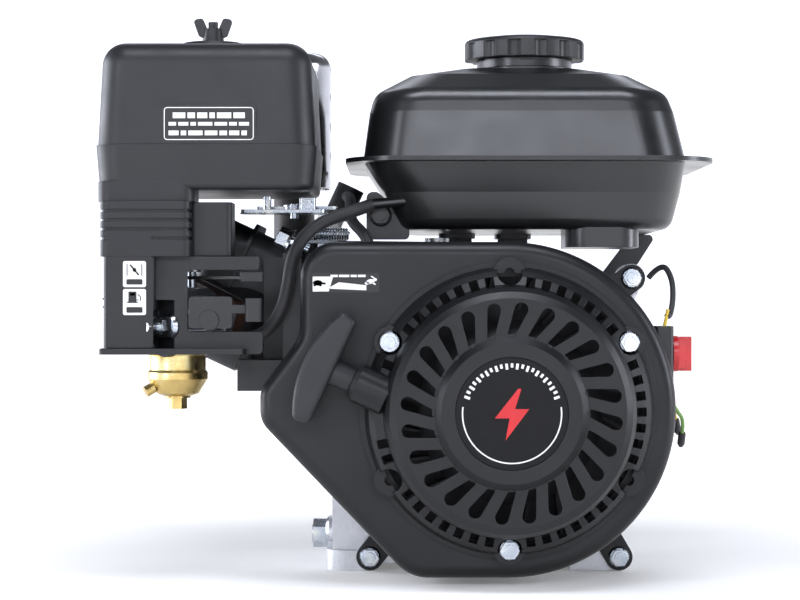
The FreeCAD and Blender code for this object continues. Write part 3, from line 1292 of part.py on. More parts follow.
def control_plate():
    plate = prism_z([(-146, -86, 4), (-92, -86, 4), (-92, -50, 6), (-126, -46, 6), (-146, -56, 5)], CONTROL_Z,
                    CONTROL_Z + 2)
    legs = [box(-98, -92, -52, -50, HOUSING_TOP - 2, CONTROL_Z + 1)]
    clamp = block(-108, -98, -90, -80, CONTROL_Z + 2, CONTROL_Z + 9, 2)
    screw = rod(V(-103, -94, CONTROL_Z + 5), AXIS_Y, 3, 6)
    post = rod(V(-128, -83, CONTROL_Z + 1), AXIS_Z, 2.5, 9)
    whole = join([plate, clamp, screw, post] + legs).cut(housing_solid())
    return whole.cut(rod(THROTTLE_PIVOT - AXIS_Z * 10, AXIS_Z, 2.5 + RUN_GAP, 20))


def housing_solid():
    return housing_face().extrude(V(0, HOUSING_BACK - HOUSING_FRONT, 0))


THROTTLE_PIVOT = V(-112, -68, CONTROL_Z)


def throttle_lever():
    hub = rod(THROTTLE_PIVOT + AXIS_Z * 2.3, AXIS_Z, 7, 3)
    arm = prism_z([(-116, -64, 2), (-116, -72, 2), (-84, -76, 3), (-84, -70, 3)], CONTROL_Z + 2.4,
                  CONTROL_Z + 4.4)
    tail = prism_z([(-108, -72, 2), (-108, -64, 2), (-136, -66, 2), (-136, -71, 2)], CONTROL_Z + 2.4,
                   CONTROL_Z + 4.4)
    pin = rod(THROTTLE_PIVOT - AXIS_Z * 3, AXIS_Z, 2.5, 9)
    return join([hub, arm, tail, pin])


def governor_spring():
    start = V(-102, -61, HOUSING_TOP + 6.6)
    return spring(start, V(1, 0.18, 0).normalize(), 3.2, 0.6, 24, 14)


# ---------- stop switch and wires ----------

SWITCH_Y = -92.0
SWITCH_Z = 139.0


def switch_box():
    body = block(109, 121, SWITCH_Y - 14, SWITCH_Y + 14, SWITCH_Z - 17, SWITCH_Z + 17, 3)
    return body.cut(housing_solid()).cut(rod(V(90, SWITCH_Y, SWITCH_Z), AXIS_X, 4 + RUN_GAP, 60))


def switch_knob():
    """A turning knob: a round skirt, a stepped grip and its spindle."""
    skirt = rod(V(121.3, SWITCH_Y, SWITCH_Z), AXIS_X, 11, 3.2)
    grip = box(124, 133, SWITCH_Y - 3.5, SWITCH_Y + 3.5, SWITCH_Z - 10.5, SWITCH_Z + 10.5)
    step = box(124, 129, SWITCH_Y - 5.5, SWITCH_Y + 5.5, SWITCH_Z - 9, SWITCH_Z + 9)
    spindle = rod(V(112, SWITCH_Y, SWITCH_Z), AXIS_X, 4, 10)
    return join([skirt, grip, step, spindle])


def wiring():
    """The stop wire from the bracket stud over the housing's edge to the switch, and its connectors."""
    stud = V(111, -56, 186)
    sleeve = hose([stud, V(119, -60, 196), V(124.5, -68, 186), V(124, -78, 172), V(120.5, -86, 160),
                   V(117, -90, 156)], 1.8)
    yellow = hose([V(117, -84, 122), V(119.5, -82, 113), V(124, -78, 106), V(126, -72, 98)], 1.2)
    green = hose([V(117, -96, 122), V(119, -98, 112), V(124, -96, 104), V(129, -90, 98), V(129, -82, 90)], 1.2)
    plug_a = rod(V(126, -72, 98), V(0.2, 0.5, -0.8), 2.4, 12)
    plug_b = rod(V(129, -82, 90), V(0, 0.6, -0.7), 2.4, 12)
    wires = [sleeve, join([yellow, plug_a]), join([green, plug_b])]
    return Part.makeCompound([wire.cut(switch_box()).cut(housing_solid()) for wire in wires])


# ---------- exhaust ----------

MUFFLER = (-200.0, -99.0, 37.0, 93.0, 252.0, 334.0)


def muffler():
    x0, x1, y0, y1, z0, z1 = MUFFLER
    can = block(x0, x1, y0, y1, z0, z1, 22)
    can = can.makeFillet(8, [e for e in can.Edges if at_z(z0)(e) or at_z(z1)(e)])
    outlet_at = CRANK + polar(152, 180 - TILT)
    flange = prism_y([(outlet_at.x - 30, outlet_at.z - 12, 8), (outlet_at.x + 30, outlet_at.z - 12, 8),
                      (outlet_at.x + 30, outlet_at.z + 12, 8), (outlet_at.x - 30, outlet_at.z + 12, 8)], 57, 61)
    level = disc_y(outlet_at.x, outlet_at.z, 14, 57, 72)
    bend = Part.makeSphere(14, V(outlet_at.x, 72, outlet_at.z))
    upright = rod(V(outlet_at.x, 72, outlet_at.z), AXIS_Z, 14, z0 - outlet_at.z + 4)
    tail = rod(V(x0 + 6, 65, 316), V(-1, 0, 0.15), 9, 30)
    body = join([can, level, bend, upright, flange, tail])
    for side in (-1, 1):
        body = body.cut(disc_y(outlet_at.x + side * 22, outlet_at.z, 4, 50, 64))
        body = body.cut(disc_y(outlet_at.x + side * 22, outlet_at.z, 10, 61, 80))
    return body.cut(rod(V(x0 + 4, 65, 316), V(-1, 0, 0.15), 7.5, 60))


def muffler_guard():
    x0, x1, y0, y1, z0, z1 = MUFFLER
    gap = 4.5
    outer = block(x0 - gap - 1.2, x1 + gap + 1.2, y0 - gap - 1.2, y1 + gap + 1.2, z0 - 4, z1 + gap + 1.2, 26)
    outer = outer.makeFillet(10, [e for e in outer.Edges if at_z(z1 + gap + 1.2)(e)])
    inner = block(x0 - gap, x1 + gap, y0 - gap, y1 + gap, z0 - 6, z1 + gap, 24.8)
    inner = inner.makeFillet(8.8, [e for e in inner.Edges if at_z(z1 + gap)(e)])
    shell = outer.cut(inner)
    for row in range(4):
        for column in range(5):
            x = x0 + 18 + column * 17
            z = z0 + 16 + row * 20
            shell = shell.cut(rod(V(x, y1 - 10, z), AXIS_Y, 3.2, 40))
    for row in range(4):
        for y in (y0 + 20, y0 + 38):
            shell = shell.cut(rod(V(x1 - 10, y, z0 + 18 + row * 20), AXIS_X, 3.2, 40))
    shell = shell.cut(rod(V(x0 - 2, 65, 317.5), V(-1, 0, 0.15), 12, 40))
    pads = [rod(V(x, y1, z), AXIS_Y, 5, gap) for x, z in GUARD_SCREWS]
    shell = join([shell] + pads)
    return cut_all(shell, [disc_y(x, z, 3, y1 - EPS, y1 + 12) for x, z in GUARD_SCREWS])


GUARD_SCREWS = [(-170, 262), (-124, 262), (-147, 326)]


def exhaust_fasteners():
    outlet_at = CRANK + polar(152, 180 - TILT)
    shapes = []
    for side in (-1, 1):
        seat = V(outlet_at.x + side * 22, 61, outlet_at.z)
        shapes.append(flange_bolt(seat, AXIS_Y, 4, 12))
    for x, z in GUARD_SCREWS:
        shapes.append(flange_bolt(V(x, MUFFLER[3] + 5.7, z), AXIS_Y, 3, 5.7))
    return Part.makeCompound(shapes)


def build_all():
    main_bolt, drain_bolt = bowl_bolts()
    nodes = {
        "crankcase": crankcase(),
        "crankcase_cover": crankcase_cover(),
        "gaskets": cover_gasket_and_head_gasket(),
        "case_bolts": Part.makeCompound([cover_bolts(), drain_plug()]),
        "oil_dipstick": oil_dipstick(),
        "bearings_and_seals": Part.makeCompound([main_bearings(), oil_seals()]),
        "cylinder_head": cylinder_head(),
        "head_bolts": head_bolts(),
        "rocker_cover": rocker_cover(),
        "valves": Part.makeCompound([valves(), valve_springs()]),
        "rocker_gear": Part.makeCompound([rockers(), pushrods()]),
        "spark_plug": spark_plug(),
        "ignition_coil": ignition_coil(),
        "piston": piston(),
        "wrist_pin": wrist_pin(),
        "connecting_rod": connecting_rod(),
        "crankshaft": crankshaft(),
        "rod_big_end": rod_big_end(),
        "flywheel": flywheel(),
        "cooling_fan": cooling_fan(),
        "starter_cup": starter_cup(),
        "camshaft": camshaft(),
        "fan_housing": fan_housing(),
        "cylinder_shroud": cylinder_shroud(),
        "recoil_case": recoil_case(),
        "flange_bolts": recoil_bolts(),
        "recoil_badge": recoil_badge(),
        "rope_guide": rope_guide(),
        "starter_reel": join([starter_reel(), starter_ratchet()]),
        "rope_coil": rope_coil(),
        "starter_handle": starter_handle(),
        "rope_lead": rope_lead(),
        "tank_upper": join([tank_upper(), fuel_neck()]),
        "tank_lower": tank_lower(),
        "fuel_cap": fuel_cap(),
        "tank_brackets": tank_brackets(),
        "fuel_hose": fuel_hose(),
        "insulator": insulator(),
        "intake_studs": intake_studs(),
        "carburetor": carburetor(),
        "float_bowl": float_bowl(),
        "bowl_bolt": Part.makeCompound([main_bolt, drain_bolt]),
        "intake_elbow": intake_elbow(),
        "air_filter_base": air_filter_base(),
        "air_filter_cover": air_filter_cover(),
        "filter_element": filter_element(),
        "wing_nut": wing_nut(),
        "choke_lever": choke_lever(),
        "throttle_shaft": throttle_shaft(),
        "fuel_lever": fuel_lever(),
        "governor_arm": governor_arm(),
        "control_plate": control_plate(),
        "throttle_lever": throttle_lever(),
        "governor_spring": governor_spring(),
        "switch_box": switch_box(),
        "switch_knob": switch_knob(),
        "wiring": wiring(),
        "muffler": muffler(),
        "muffler_guard": muffler_guard(),
        "exhaust_fasteners": exhaust_fasteners(),
    }
    return nodes


os.makedirs("parts", exist_ok=True)
for name, shape in build_all().items():
    shape.exportStep("parts/" + name + ".step")
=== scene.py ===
"""Small horizontal-shaft petrol engine: finishes, labels, rope, hose, wires, light and camera."""
import bpy
import bmesh
import math
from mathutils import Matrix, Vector
from mathutils.bvhtree import BVHTree


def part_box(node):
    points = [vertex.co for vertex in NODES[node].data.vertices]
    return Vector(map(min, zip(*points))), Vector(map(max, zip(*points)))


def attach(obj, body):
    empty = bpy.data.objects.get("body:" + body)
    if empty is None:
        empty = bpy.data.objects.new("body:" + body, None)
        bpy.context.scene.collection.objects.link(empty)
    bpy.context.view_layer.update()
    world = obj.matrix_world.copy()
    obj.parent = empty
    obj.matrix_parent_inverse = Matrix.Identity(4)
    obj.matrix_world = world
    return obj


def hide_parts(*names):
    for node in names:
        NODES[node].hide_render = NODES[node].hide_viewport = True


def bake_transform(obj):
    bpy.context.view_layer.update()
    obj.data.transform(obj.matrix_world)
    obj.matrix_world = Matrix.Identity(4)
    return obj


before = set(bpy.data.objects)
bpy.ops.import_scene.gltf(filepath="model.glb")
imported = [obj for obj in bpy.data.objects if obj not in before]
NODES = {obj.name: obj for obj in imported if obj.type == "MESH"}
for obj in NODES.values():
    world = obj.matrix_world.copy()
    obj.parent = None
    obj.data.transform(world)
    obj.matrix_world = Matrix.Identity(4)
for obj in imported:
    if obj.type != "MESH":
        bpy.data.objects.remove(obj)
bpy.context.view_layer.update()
MM = 0.001

RIGHT = Vector((1, 0, 0))
AWAY = Vector((0, 1, 0))
UP = Vector((0, 0, 1))

# Crank centre in millimetres, and the direction in which the starter handle is pulled
CRANK = Vector((19.0, 0.0, 106.0))
PULL_TILT = math.radians(25)
PULL_DIR = Vector((-math.cos(PULL_TILT), 0, math.sin(PULL_TILT)))
PULL_UP = Vector((math.sin(PULL_TILT), 0, math.cos(PULL_TILT)))

# Noise and edge settings that all finishes share
GLOSS_SCALE = 3.1
WEAR_DETAIL = 8.0
WEAR_ROUGHNESS = 0.7
WEAR_FADE = 0.05
BEVEL_SAMPLES = 4
PLAIN_IOR = 1.5


# ---------- materials ----------

def tree_of(name):
    mat = bpy.data.materials.new(name)
    mat.use_nodes = True
    nodes = mat.node_tree.nodes
    return mat, nodes, mat.node_tree.links, nodes["Principled BSDF"]


def noise(nodes, links, coord, scale, detail=4.0, rough=0.55):
    node = nodes.new("ShaderNodeTexNoise")
    node.inputs["Scale"].default_value = scale
    node.inputs["Detail"].default_value = detail
    node.inputs["Roughness"].default_value = rough
    links.new(coord, node.inputs["Vector"])
    return node.outputs["Fac"]


def ramp(nodes, links, value, stops):
    node = nodes.new("ShaderNodeValToRGB")
    while len(node.color_ramp.elements) < len(stops):
        node.color_ramp.elements.new(0.5)
    for element, (at, colour) in zip(node.color_ramp.elements, stops):
        element.position = at
        element.color = (*colour, 1)
    links.new(value, node.inputs["Fac"])
    return node.outputs["Color"]


def ranged(nodes, links, value, low, high, start=0.3, end=0.7):
    """The value's stretch from start to end, mapped to low and high."""
    node = nodes.new("ShaderNodeMapRange")
    node.inputs["From Min"].default_value = start
    node.inputs["From Max"].default_value = end
    node.inputs["To Min"].default_value = low
    node.inputs["To Max"].default_value = high
    links.new(value, node.inputs["Value"])
    return node.outputs["Result"]


def worn(nodes, links, coord, shade, wear):
    """Speckles over the shade: wear is their colour, scale and threshold."""
    colour, scale, threshold = wear
    speck = noise(nodes, links, coord, scale, WEAR_DETAIL, WEAR_ROUGHNESS)
    mask = ramp(nodes, links, speck, [(threshold, (0, 0, 0)), (threshold + WEAR_FADE, (1, 1, 1))])
    mixer = nodes.new("ShaderNodeMix")
    mixer.data_type = "RGBA"
    links.new(mask, mixer.inputs["Factor"])
    links.new(shade, mixer.inputs["A"])
    mixer.inputs["B"].default_value = (*colour, 1)
    return mixer.outputs["Result"]


def stretched(nodes, links, coord, stretch):
    mapping = nodes.new("ShaderNodeMapping")
    mapping.inputs["Scale"].default_value = stretch
    links.new(coord, mapping.inputs["Vector"])
    return mapping.outputs["Vector"]


def relief(nodes, links, coord, edge, bumps):
    """Edges rounded by the edge radius in metres, then each bump's scale, strength and depth."""
    normal = None
    if edge:
        rounding = nodes.new("ShaderNodeBevel")
        rounding.samples = BEVEL_SAMPLES
        rounding.inputs["Radius"].default_value = edge
        normal = rounding.outputs["Normal"]
    for scale, strength, depth in bumps:
        bump = nodes.new("ShaderNodeBump")
        bump.inputs["Strength"].default_value = strength
        bump.inputs["Distance"].default_value = depth
        links.new(noise(nodes, links, coord, scale, 3.0), bump.inputs["Height"])
        if normal:
            links.new(normal, bump.inputs["Normal"])
        normal = bump.outputs["Normal"]
    return normal


def finish(name, colour, rough, metal=0.0, spread=0.25, tone_scale=30.0, rough_spread=0.06,
           bumps=((900.0, 0.05, 0.0002),), tint=None, coat=0.0, coat_rough=0.1, specular=0.5,
           sheen=0.0, edge=0.0004, stretch=None, aniso=0.0, wear=None):
    """A solid finish: blotchy colour, uneven gloss, rounded edges and one or more fine bumps."""
    mat, nodes, links, shader = tree_of(name)
    coord = nodes.new("ShaderNodeTexCoord").outputs["Object"]
    fine_coord = stretched(nodes, links, coord, stretch) if stretch else coord
    dark = tuple(c * (1 - spread) for c in colour)
    light = tuple(min(1.0, c * (1 + spread)) for c in (tint or colour))
    tone = noise(nodes, links, coord, tone_scale, 5.0)
    shade = ramp(nodes, links, tone, [(0.3, dark), (0.5, colour), (0.72, light)])
    if wear:
        shade = worn(nodes, links, coord, shade, wear)
    links.new(shade, shader.inputs["Base Color"])
    gloss = noise(nodes, links, fine_coord, tone_scale * GLOSS_SCALE)
    roughness = ranged(nodes, links, gloss, max(0.02, rough - rough_spread), min(1.0, rough + rough_spread))
    links.new(roughness, shader.inputs["Roughness"])
    links.new(relief(nodes, links, fine_coord, edge, bumps), shader.inputs["Normal"])
    shader.inputs["Metallic"].default_value = metal
    shader.inputs["Specular IOR Level"].default_value = specular
    shader.inputs["IOR"].default_value = PLAIN_IOR
    shader.inputs["Coat Weight"].default_value = coat
    shader.inputs["Coat Roughness"].default_value = coat_rough
    shader.inputs["Sheen Weight"].default_value = sheen
    shader.inputs["Anisotropic"].default_value = aniso
    return mat


# Each finish: colour, roughness and what differs from the defaults
LOOKS = {
    "tank_paint": dict(colour=(0.0065, 0.0067, 0.0072), rough=0.34, coat=0.35, coat_rough=0.22,
                       tone_scale=12, bumps=((260.0, 0.05, 0.0004), (1500.0, 0.05, 0.0001)),
                       edge=0.0006),
    "satin_paint": dict(colour=(0.0062, 0.0063, 0.0070), rough=0.40, tone_scale=14, specular=0.36,
                        bumps=((420.0, 0.08, 0.0003), (1600.0, 0.10, 0.0001)), edge=0.0007),
    "shroud_paint": dict(colour=(0.0075, 0.0076, 0.008), rough=0.42, tone_scale=25,
                         bumps=((700.0, 0.12, 0.0002),), edge=0.0004),
    "filter_plastic": dict(colour=(0.0105, 0.0105, 0.0118), rough=0.45, specular=0.42, tone_scale=20,
                           spread=0.18, bumps=((2600.0, 0.28, 0.00012), (700.0, 0.10, 0.0002)),
                           edge=0.0007),
    "black_plastic": dict(colour=(0.011, 0.011, 0.0115), rough=0.42, tone_scale=22, spread=0.18,
                          bumps=((2400.0, 0.22, 0.0001), (500.0, 0.06, 0.0002)), edge=0.0006),
    "handle_plastic": dict(colour=(0.017, 0.0172, 0.0190), rough=0.46, specular=0.4, tone_scale=26,
                           spread=0.15, bumps=((2200.0, 0.30, 0.00014),), edge=0.0009),
    "cast_aluminium": dict(colour=(0.60, 0.61, 0.63), rough=0.46, metal=1.0, spread=0.14, tone_scale=40,
                           bumps=((1100.0, 0.35, 0.0003), (260.0, 0.15, 0.0005)), edge=0.0006,
                           wear=((0.30, 0.30, 0.31), 420.0, 0.62)),
    "dark_cast": dict(colour=(0.020, 0.020, 0.021), rough=0.52, spread=0.25, tone_scale=40,
                      bumps=((1100.0, 0.35, 0.0003), (260.0, 0.15, 0.0005)), edge=0.0006),
    "machined": dict(colour=(0.62, 0.63, 0.65), rough=0.30, metal=1.0, spread=0.10, tone_scale=50,
                     bumps=((1600.0, 0.15, 0.0001),), edge=0.0004, aniso=0.3),
    "zinc": dict(colour=(0.46, 0.50, 0.55), rough=0.24, metal=1.0, spread=0.16, tone_scale=90,
                 tint=(0.60, 0.60, 0.56), bumps=((1500.0, 0.12, 0.0001),), edge=0.0003),
    "yellow_zinc": dict(colour=(0.62, 0.45, 0.17), rough=0.30, metal=1.0, spread=0.22, tone_scale=55,
                        tint=(0.66, 0.62, 0.34), bumps=((900.0, 0.16, 0.0002),), edge=0.0005),
    "ground_steel": dict(colour=(0.55, 0.55, 0.56), rough=0.22, metal=1.0, spread=0.08, tone_scale=60,
                         bumps=((1800.0, 0.10, 0.0001),), edge=0.0003, stretch=(1, 14, 1), aniso=0.4),
    "dark_steel": dict(colour=(0.055, 0.054, 0.053), rough=0.50, metal=0.8, spread=0.3, tone_scale=35,
                       bumps=((800.0, 0.25, 0.0003),), edge=0.0005,
                       wear=((0.16, 0.10, 0.06), 160.0, 0.66)),
    "bracket_paint": dict(colour=(0.020, 0.020, 0.021), rough=0.42, tone_scale=35,
                          bumps=((900.0, 0.15, 0.0002),), edge=0.0004),
    "guard_chrome": dict(colour=(0.50, 0.50, 0.51), rough=0.20, metal=1.0, spread=0.12, tone_scale=30,
                         bumps=((300.0, 0.06, 0.0004),), edge=0.0005),
    "cast_iron": dict(colour=(0.16, 0.16, 0.165), rough=0.55, metal=1.0, spread=0.25, tone_scale=60,
                      bumps=((1400.0, 0.45, 0.0003),), edge=0.0005),
    "fan_plastic": dict(colour=(0.018, 0.018, 0.019), rough=0.50, tone_scale=40,
                        bumps=((2000.0, 0.2, 0.0001),), edge=0.0004),
    "gasket": dict(colour=(0.06, 0.075, 0.07), rough=0.85, spread=0.3, tone_scale=120,
                   bumps=((2200.0, 0.5, 0.0002),), edge=0.0),
    "phenolic": dict(colour=(0.045, 0.022, 0.014), rough=0.45, spread=0.3, tone_scale=90,
                     bumps=((1800.0, 0.2, 0.0001),), edge=0.0004),
    "ceramic": dict(colour=(0.80, 0.79, 0.76), rough=0.16, spread=0.05, tone_scale=40, coat=0.6,
                    bumps=((600.0, 0.05, 0.0001),), edge=0.0004),
    "rubber": dict(colour=(0.014, 0.014, 0.015), rough=0.58, spread=0.25, tone_scale=60, sheen=0.1,
                   bumps=((1700.0, 0.25, 0.0002),), edge=0.0003),
    "foam": dict(colour=(0.035, 0.032, 0.030), rough=0.95, spread=0.4, tone_scale=500,
                 bumps=((900.0, 0.9, 0.0009),), edge=0.0),
    "rope": dict(colour=(0.62, 0.60, 0.55), rough=0.80, spread=0.25, tone_scale=700, sheen=0.3,
                 bumps=((1500.0, 0.6, 0.0003),), edge=0.0),
    "red_plastic": dict(colour=(0.52, 0.010, 0.012), rough=0.33, spread=0.15, tone_scale=60, coat=0.25,
                        coat_rough=0.2, bumps=((1500.0, 0.10, 0.0001),), edge=0.0006),
    "badge_black": dict(colour=(0.004, 0.004, 0.0045), rough=0.50, spread=0.1, tone_scale=30,
                        specular=0.22, bumps=((500.0, 0.03, 0.0001),), edge=0.0003),
    "label_black": dict(colour=(0.008, 0.008, 0.008), rough=0.38, spread=0.1, tone_scale=40,
                        bumps=((900.0, 0.06, 0.0001),), edge=0.0),
    "label_white": dict(colour=(0.78, 0.78, 0.76), rough=0.42, spread=0.05, tone_scale=90,
                        bumps=((1200.0, 0.05, 0.0001),), edge=0.0),
    "label_red": dict(colour=(0.55, 0.012, 0.016), rough=0.40, spread=0.08, tone_scale=90,
                      bumps=((1200.0, 0.05, 0.0001),), edge=0.0),
    "wire_yellow": dict(colour=(0.62, 0.43, 0.03), rough=0.45, spread=0.12, tone_scale=120,
                        bumps=((1500.0, 0.1, 0.0001),), edge=0.0),
    "wire_green": dict(colour=(0.16, 0.30, 0.07), rough=0.45, spread=0.12, tone_scale=120,
                       bumps=((1500.0, 0.1, 0.0001),), edge=0.0),
}
MATS = {name: finish(name, **look) for name, look in LOOKS.items()}

# The CAD nodes that wear each finish
FINISHES = {
    "tank_paint": ("tank_upper", "tank_lower"),
    "satin_paint": ("fan_housing", "recoil_case"),
    "shroud_paint": ("cylinder_shroud", "rocker_cover"),
    "filter_plastic": ("air_filter_cover", "air_filter_base", "intake_elbow"),
    "black_plastic": ("fuel_cap", "wing_nut", "switch_box", "rope_guide", "choke_lever", "fuel_lever",
                      "oil_dipstick", "starter_reel"),
    "handle_plastic": ("starter_handle",),
    "cast_aluminium": ("crankcase", "crankcase_cover", "carburetor"),
    "dark_cast": ("cylinder_head",),
    "machined": ("piston", "connecting_rod", "rod_big_end"),
    "zinc": ("flange_bolts", "case_bolts", "head_bolts", "intake_studs", "exhaust_fasteners",
             "control_plate", "governor_arm", "throttle_lever", "throttle_shaft", "governor_spring",
             "starter_cup"),
    "yellow_zinc": ("float_bowl", "bowl_bolt"),
    "ground_steel": ("crankshaft", "camshaft", "valves", "rocker_gear", "wrist_pin",
                     "bearings_and_seals"),
    "dark_steel": ("muffler",),
    "bracket_paint": ("tank_brackets",),
    "guard_chrome": ("muffler_guard",),
    "cast_iron": ("flywheel",),
    "fan_plastic": ("cooling_fan",),
    "gasket": ("gaskets",),
    "phenolic": ("insulator",),
    "ceramic": ("spark_plug",),
    "rubber": ("ignition_coil", "fuel_hose", "wiring"),
    "foam": ("filter_element",),
    "rope": ("rope_coil", "rope_lead"),
    "red_plastic": ("switch_knob",),
    "badge_black": ("recoil_badge",),
}
for key, names in FINISHES.items():
    for node_name in names:
        node = NODES[node_name]
        node.data.materials.clear()
        node.data.materials.append(MATS[key])

# ---------- mesh helpers, sizes in millimetres ----------

def linked(name, data):
    obj = bpy.data.objects.new(name, data)
    bpy.context.scene.collection.objects.link(obj)
    return obj


def mesh_from(name, bm):
    mesh = bpy.data.meshes.new(name)
    bm.to_mesh(mesh)
    bm.free()
    return mesh


def shaded(name, mesh, material, smooth=True):
    obj = linked(name, mesh)
    mesh.materials.append(MATS[material])
    for face in mesh.polygons:
        face.use_smooth = smooth
    return obj


def flat_piece(name, outlines, origin, across, up, height, material, body, sink=0.15):
    """Thin raised print: each outline, on the plane of across and up, given a small height."""
    out = across.cross(up).normalized()
    bm = bmesh.new()
    for outline in outlines:
        top = []
        base = []
        for u, v in outline:
            at = origin + across * u + up * v
            top.append(bm.verts.new((at + out * height) * MM))
            base.append(bm.verts.new((at - out * sink) * MM))
        bm.faces.new(top)
        bm.faces.new(list(reversed(base)))
        count = len(top)
        for i in range(count):
            j = (i + 1) % count
            bm.faces.new((base[i], base[j], top[j], top[i]))
    bmesh.ops.recalc_face_normals(bm, faces=bm.faces)
    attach(shaded(name, mesh_from(name, bm), material, smooth=False), body)


def rounded_rect(x0, x1, y0, y1, radius, steps=6):
    points = []
    for cx, cy, start in ((x1 - radius, y1 - radius, 0), (x0 + radius, y1 - radius, 90),
                          (x0 + radius, y0 + radius, 180), (x1 - radius, y0 + radius, 270)):
        for i in range(steps + 1):
            a = math.radians(start + 90 * i / steps)
            points.append((cx + radius * math.cos(a), cy + radius * math.sin(a)))
    return points


def ellipse(cx, cy, rx, ry, turn=0.0, steps=24):
    c, s = math.cos(math.radians(turn)), math.sin(math.radians(turn))
    points = []
    for i in range(steps):
        a = 2 * math.pi * i / steps
        u, v = rx * math.cos(a), ry * math.sin(a)
        points.append((cx + u * c - v * s, cy + u * s + v * c))
    return points


def rectangle(x0, x1, y0, y1):
    return [(x0, y0), (x1, y0), (x1, y1), (x0, y1)]


def stroke(a, b, width):
    """A bar from a to b with square ends."""
    dx, dy = b[0] - a[0], b[1] - a[1]
    length = math.hypot(dx, dy)
    nx, ny = -dy / length * width / 2, dx / length * width / 2
    return [(a[0] + nx, a[1] + ny), (a[0] - nx, a[1] - ny), (b[0] - nx, b[1] - ny), (b[0] + nx, b[1] + ny)]


def polar(cx, cy, radius, angle):
    return cx + radius * math.cos(angle), cy + radius * math.sin(angle)


def arc_band(cx, cy, r0, r1, start, end, steps):
    """A band between two radii as short quads, so that every outline is convex."""
    quads = []
    for i in range(steps):
        a = math.radians(start + (end - start) * i / steps)
        b = math.radians(start + (end - start) * (i + 1) / steps)
        quads.append([polar(cx, cy, r0, a), polar(cx, cy, r1, a), polar(cx, cy, r1, b), polar(cx, cy, r0, b)])
    return quads


def frame_band(x0, x1, y0, y1, radius, width):
    """A rounded rectangle drawn as an outline of even width, as quads."""
    outer = rounded_rect(x0, x1, y0, y1, radius)
    inner = rounded_rect(x0 + width, x1 - width, y0 + width, y1 - width, max(0.1, radius - width))
    quads = []
    for i in range(len(outer)):
        j = (i + 1) % len(outer)
        quads.append([outer[i], outer[j], inner[j], inner[i]])
    return quads


def ring_of(bm, centre, out, across, radius, sides):
    """One loop of a tube: points round the centre, on the plane of out and across."""
    angles = [2 * math.pi * n / sides for n in range(sides)]
    return [bm.verts.new((centre + (out * math.cos(a) + across * math.sin(a)) * radius) * MM) for a in angles]


def tube_from(name, bm, loops):
    """Adds the faces between the loops and the two ends."""
    sides = len(loops[0])
    for low, high in zip(loops, loops[1:]):
        for n in range(sides):
            m = (n + 1) % sides
            bm.faces.new((low[n], low[m], high[m], high[n]))
    bm.faces.new(loops[0])
    bm.faces.new(list(reversed(loops[-1])))


SPLINE_ORDER = 3
STEPS_PER_POINT = 10
TUBE_ROUNDNESS = 6


def tube(name, points, radius, material, body):
    """A smooth NURBS tube through control points."""
    curve = bpy.data.curves.new(name, "CURVE")
    curve.dimensions = "3D"
    curve.bevel_depth = radius * MM
    curve.bevel_resolution = TUBE_ROUNDNESS
    curve.resolution_u = STEPS_PER_POINT
    curve.use_fill_caps = True
    spline = curve.splines.new("NURBS")
    spline.points.add(len(points) - 1)
    for point, at in zip(spline.points, points):
        point.co = (at[0] * MM, at[1] * MM, at[2] * MM, 1)
    spline.order_u = SPLINE_ORDER
    spline.use_endpoint_u = True
    obj = linked(name, curve)
    curve.materials.append(MATS[material])
    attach(obj, body)
    return obj


# ---------- badge on the recoil starter: thin ring, scale marks and a plain spark symbol ----------

BADGE = Vector((CRANK.x, -171.6, CRANK.z))
BADGE_PRINT = 0.12
RING_INNER, RING_OUTER = 28.3, 29.1
RING_START, RING_END, RING_STEPS = 172, 368, 90
MARKS = 23
MARKS_START, MARKS_SPAN = 20, 140
MARK_ODD, MARK_EVEN, MARK_OUTER = 26.9, 25.9, 29.3
MARK_WIDTH = 1.5
SPARK = [[(3.5, 14.5), (-10.0, -2.6), (-1.4, -2.6)],
         [(3.5, 14.5), (-1.4, -2.6), (1.8, 2.8), (5.4, 14.5)],
         [(1.8, 2.8), (-1.4, -2.6), (-3.8, -15.5)],
         [(1.8, 2.8), (-3.8, -15.5), (10.0, 2.8)]]

ring = arc_band(0, 0, RING_INNER, RING_OUTER, RING_START, RING_END, RING_STEPS)
for mark in range(MARKS):
    turn = math.radians(MARKS_START + MARKS_SPAN * mark / (MARKS - 1))
    inner = MARK_ODD if mark % 2 else MARK_EVEN
    ring.append(stroke(polar(0, 0, inner, turn), polar(0, 0, MARK_OUTER, turn), MARK_WIDTH))
flat_piece("badge_ring", ring, BADGE, RIGHT, UP, BADGE_PRINT, "label_white", "engine")
flat_piece("badge_symbol", SPARK, BADGE, RIGHT, UP, BADGE_PRINT, "label_red", "engine")

# ---------- labels with plain bars and symbols ----------

RAY_START = -0.5
PLATE_HEIGHT, PLATE_SINK = 0.15, 0.6
PRINT_HEIGHT, PRINT_SINK = 0.08, 0.05


def front_surface(node_name, at, half_x, half_z):
    """The Y of the node's surface furthest to the front behind a label."""
    tree = BVHTree.FromObject(NODES[node_name], bpy.context.evaluated_depsgraph_get())
    fronts = []
    for dx in (-half_x, 0, half_x):
        for dz in (-half_z, 0, half_z):
            hit = tree.ray_cast(Vector(((at.x + dx) * MM, RAY_START, (at.z + dz) * MM)), AWAY)[0]
            if hit:
                fronts.append(hit.y)
    return min(fronts) / MM


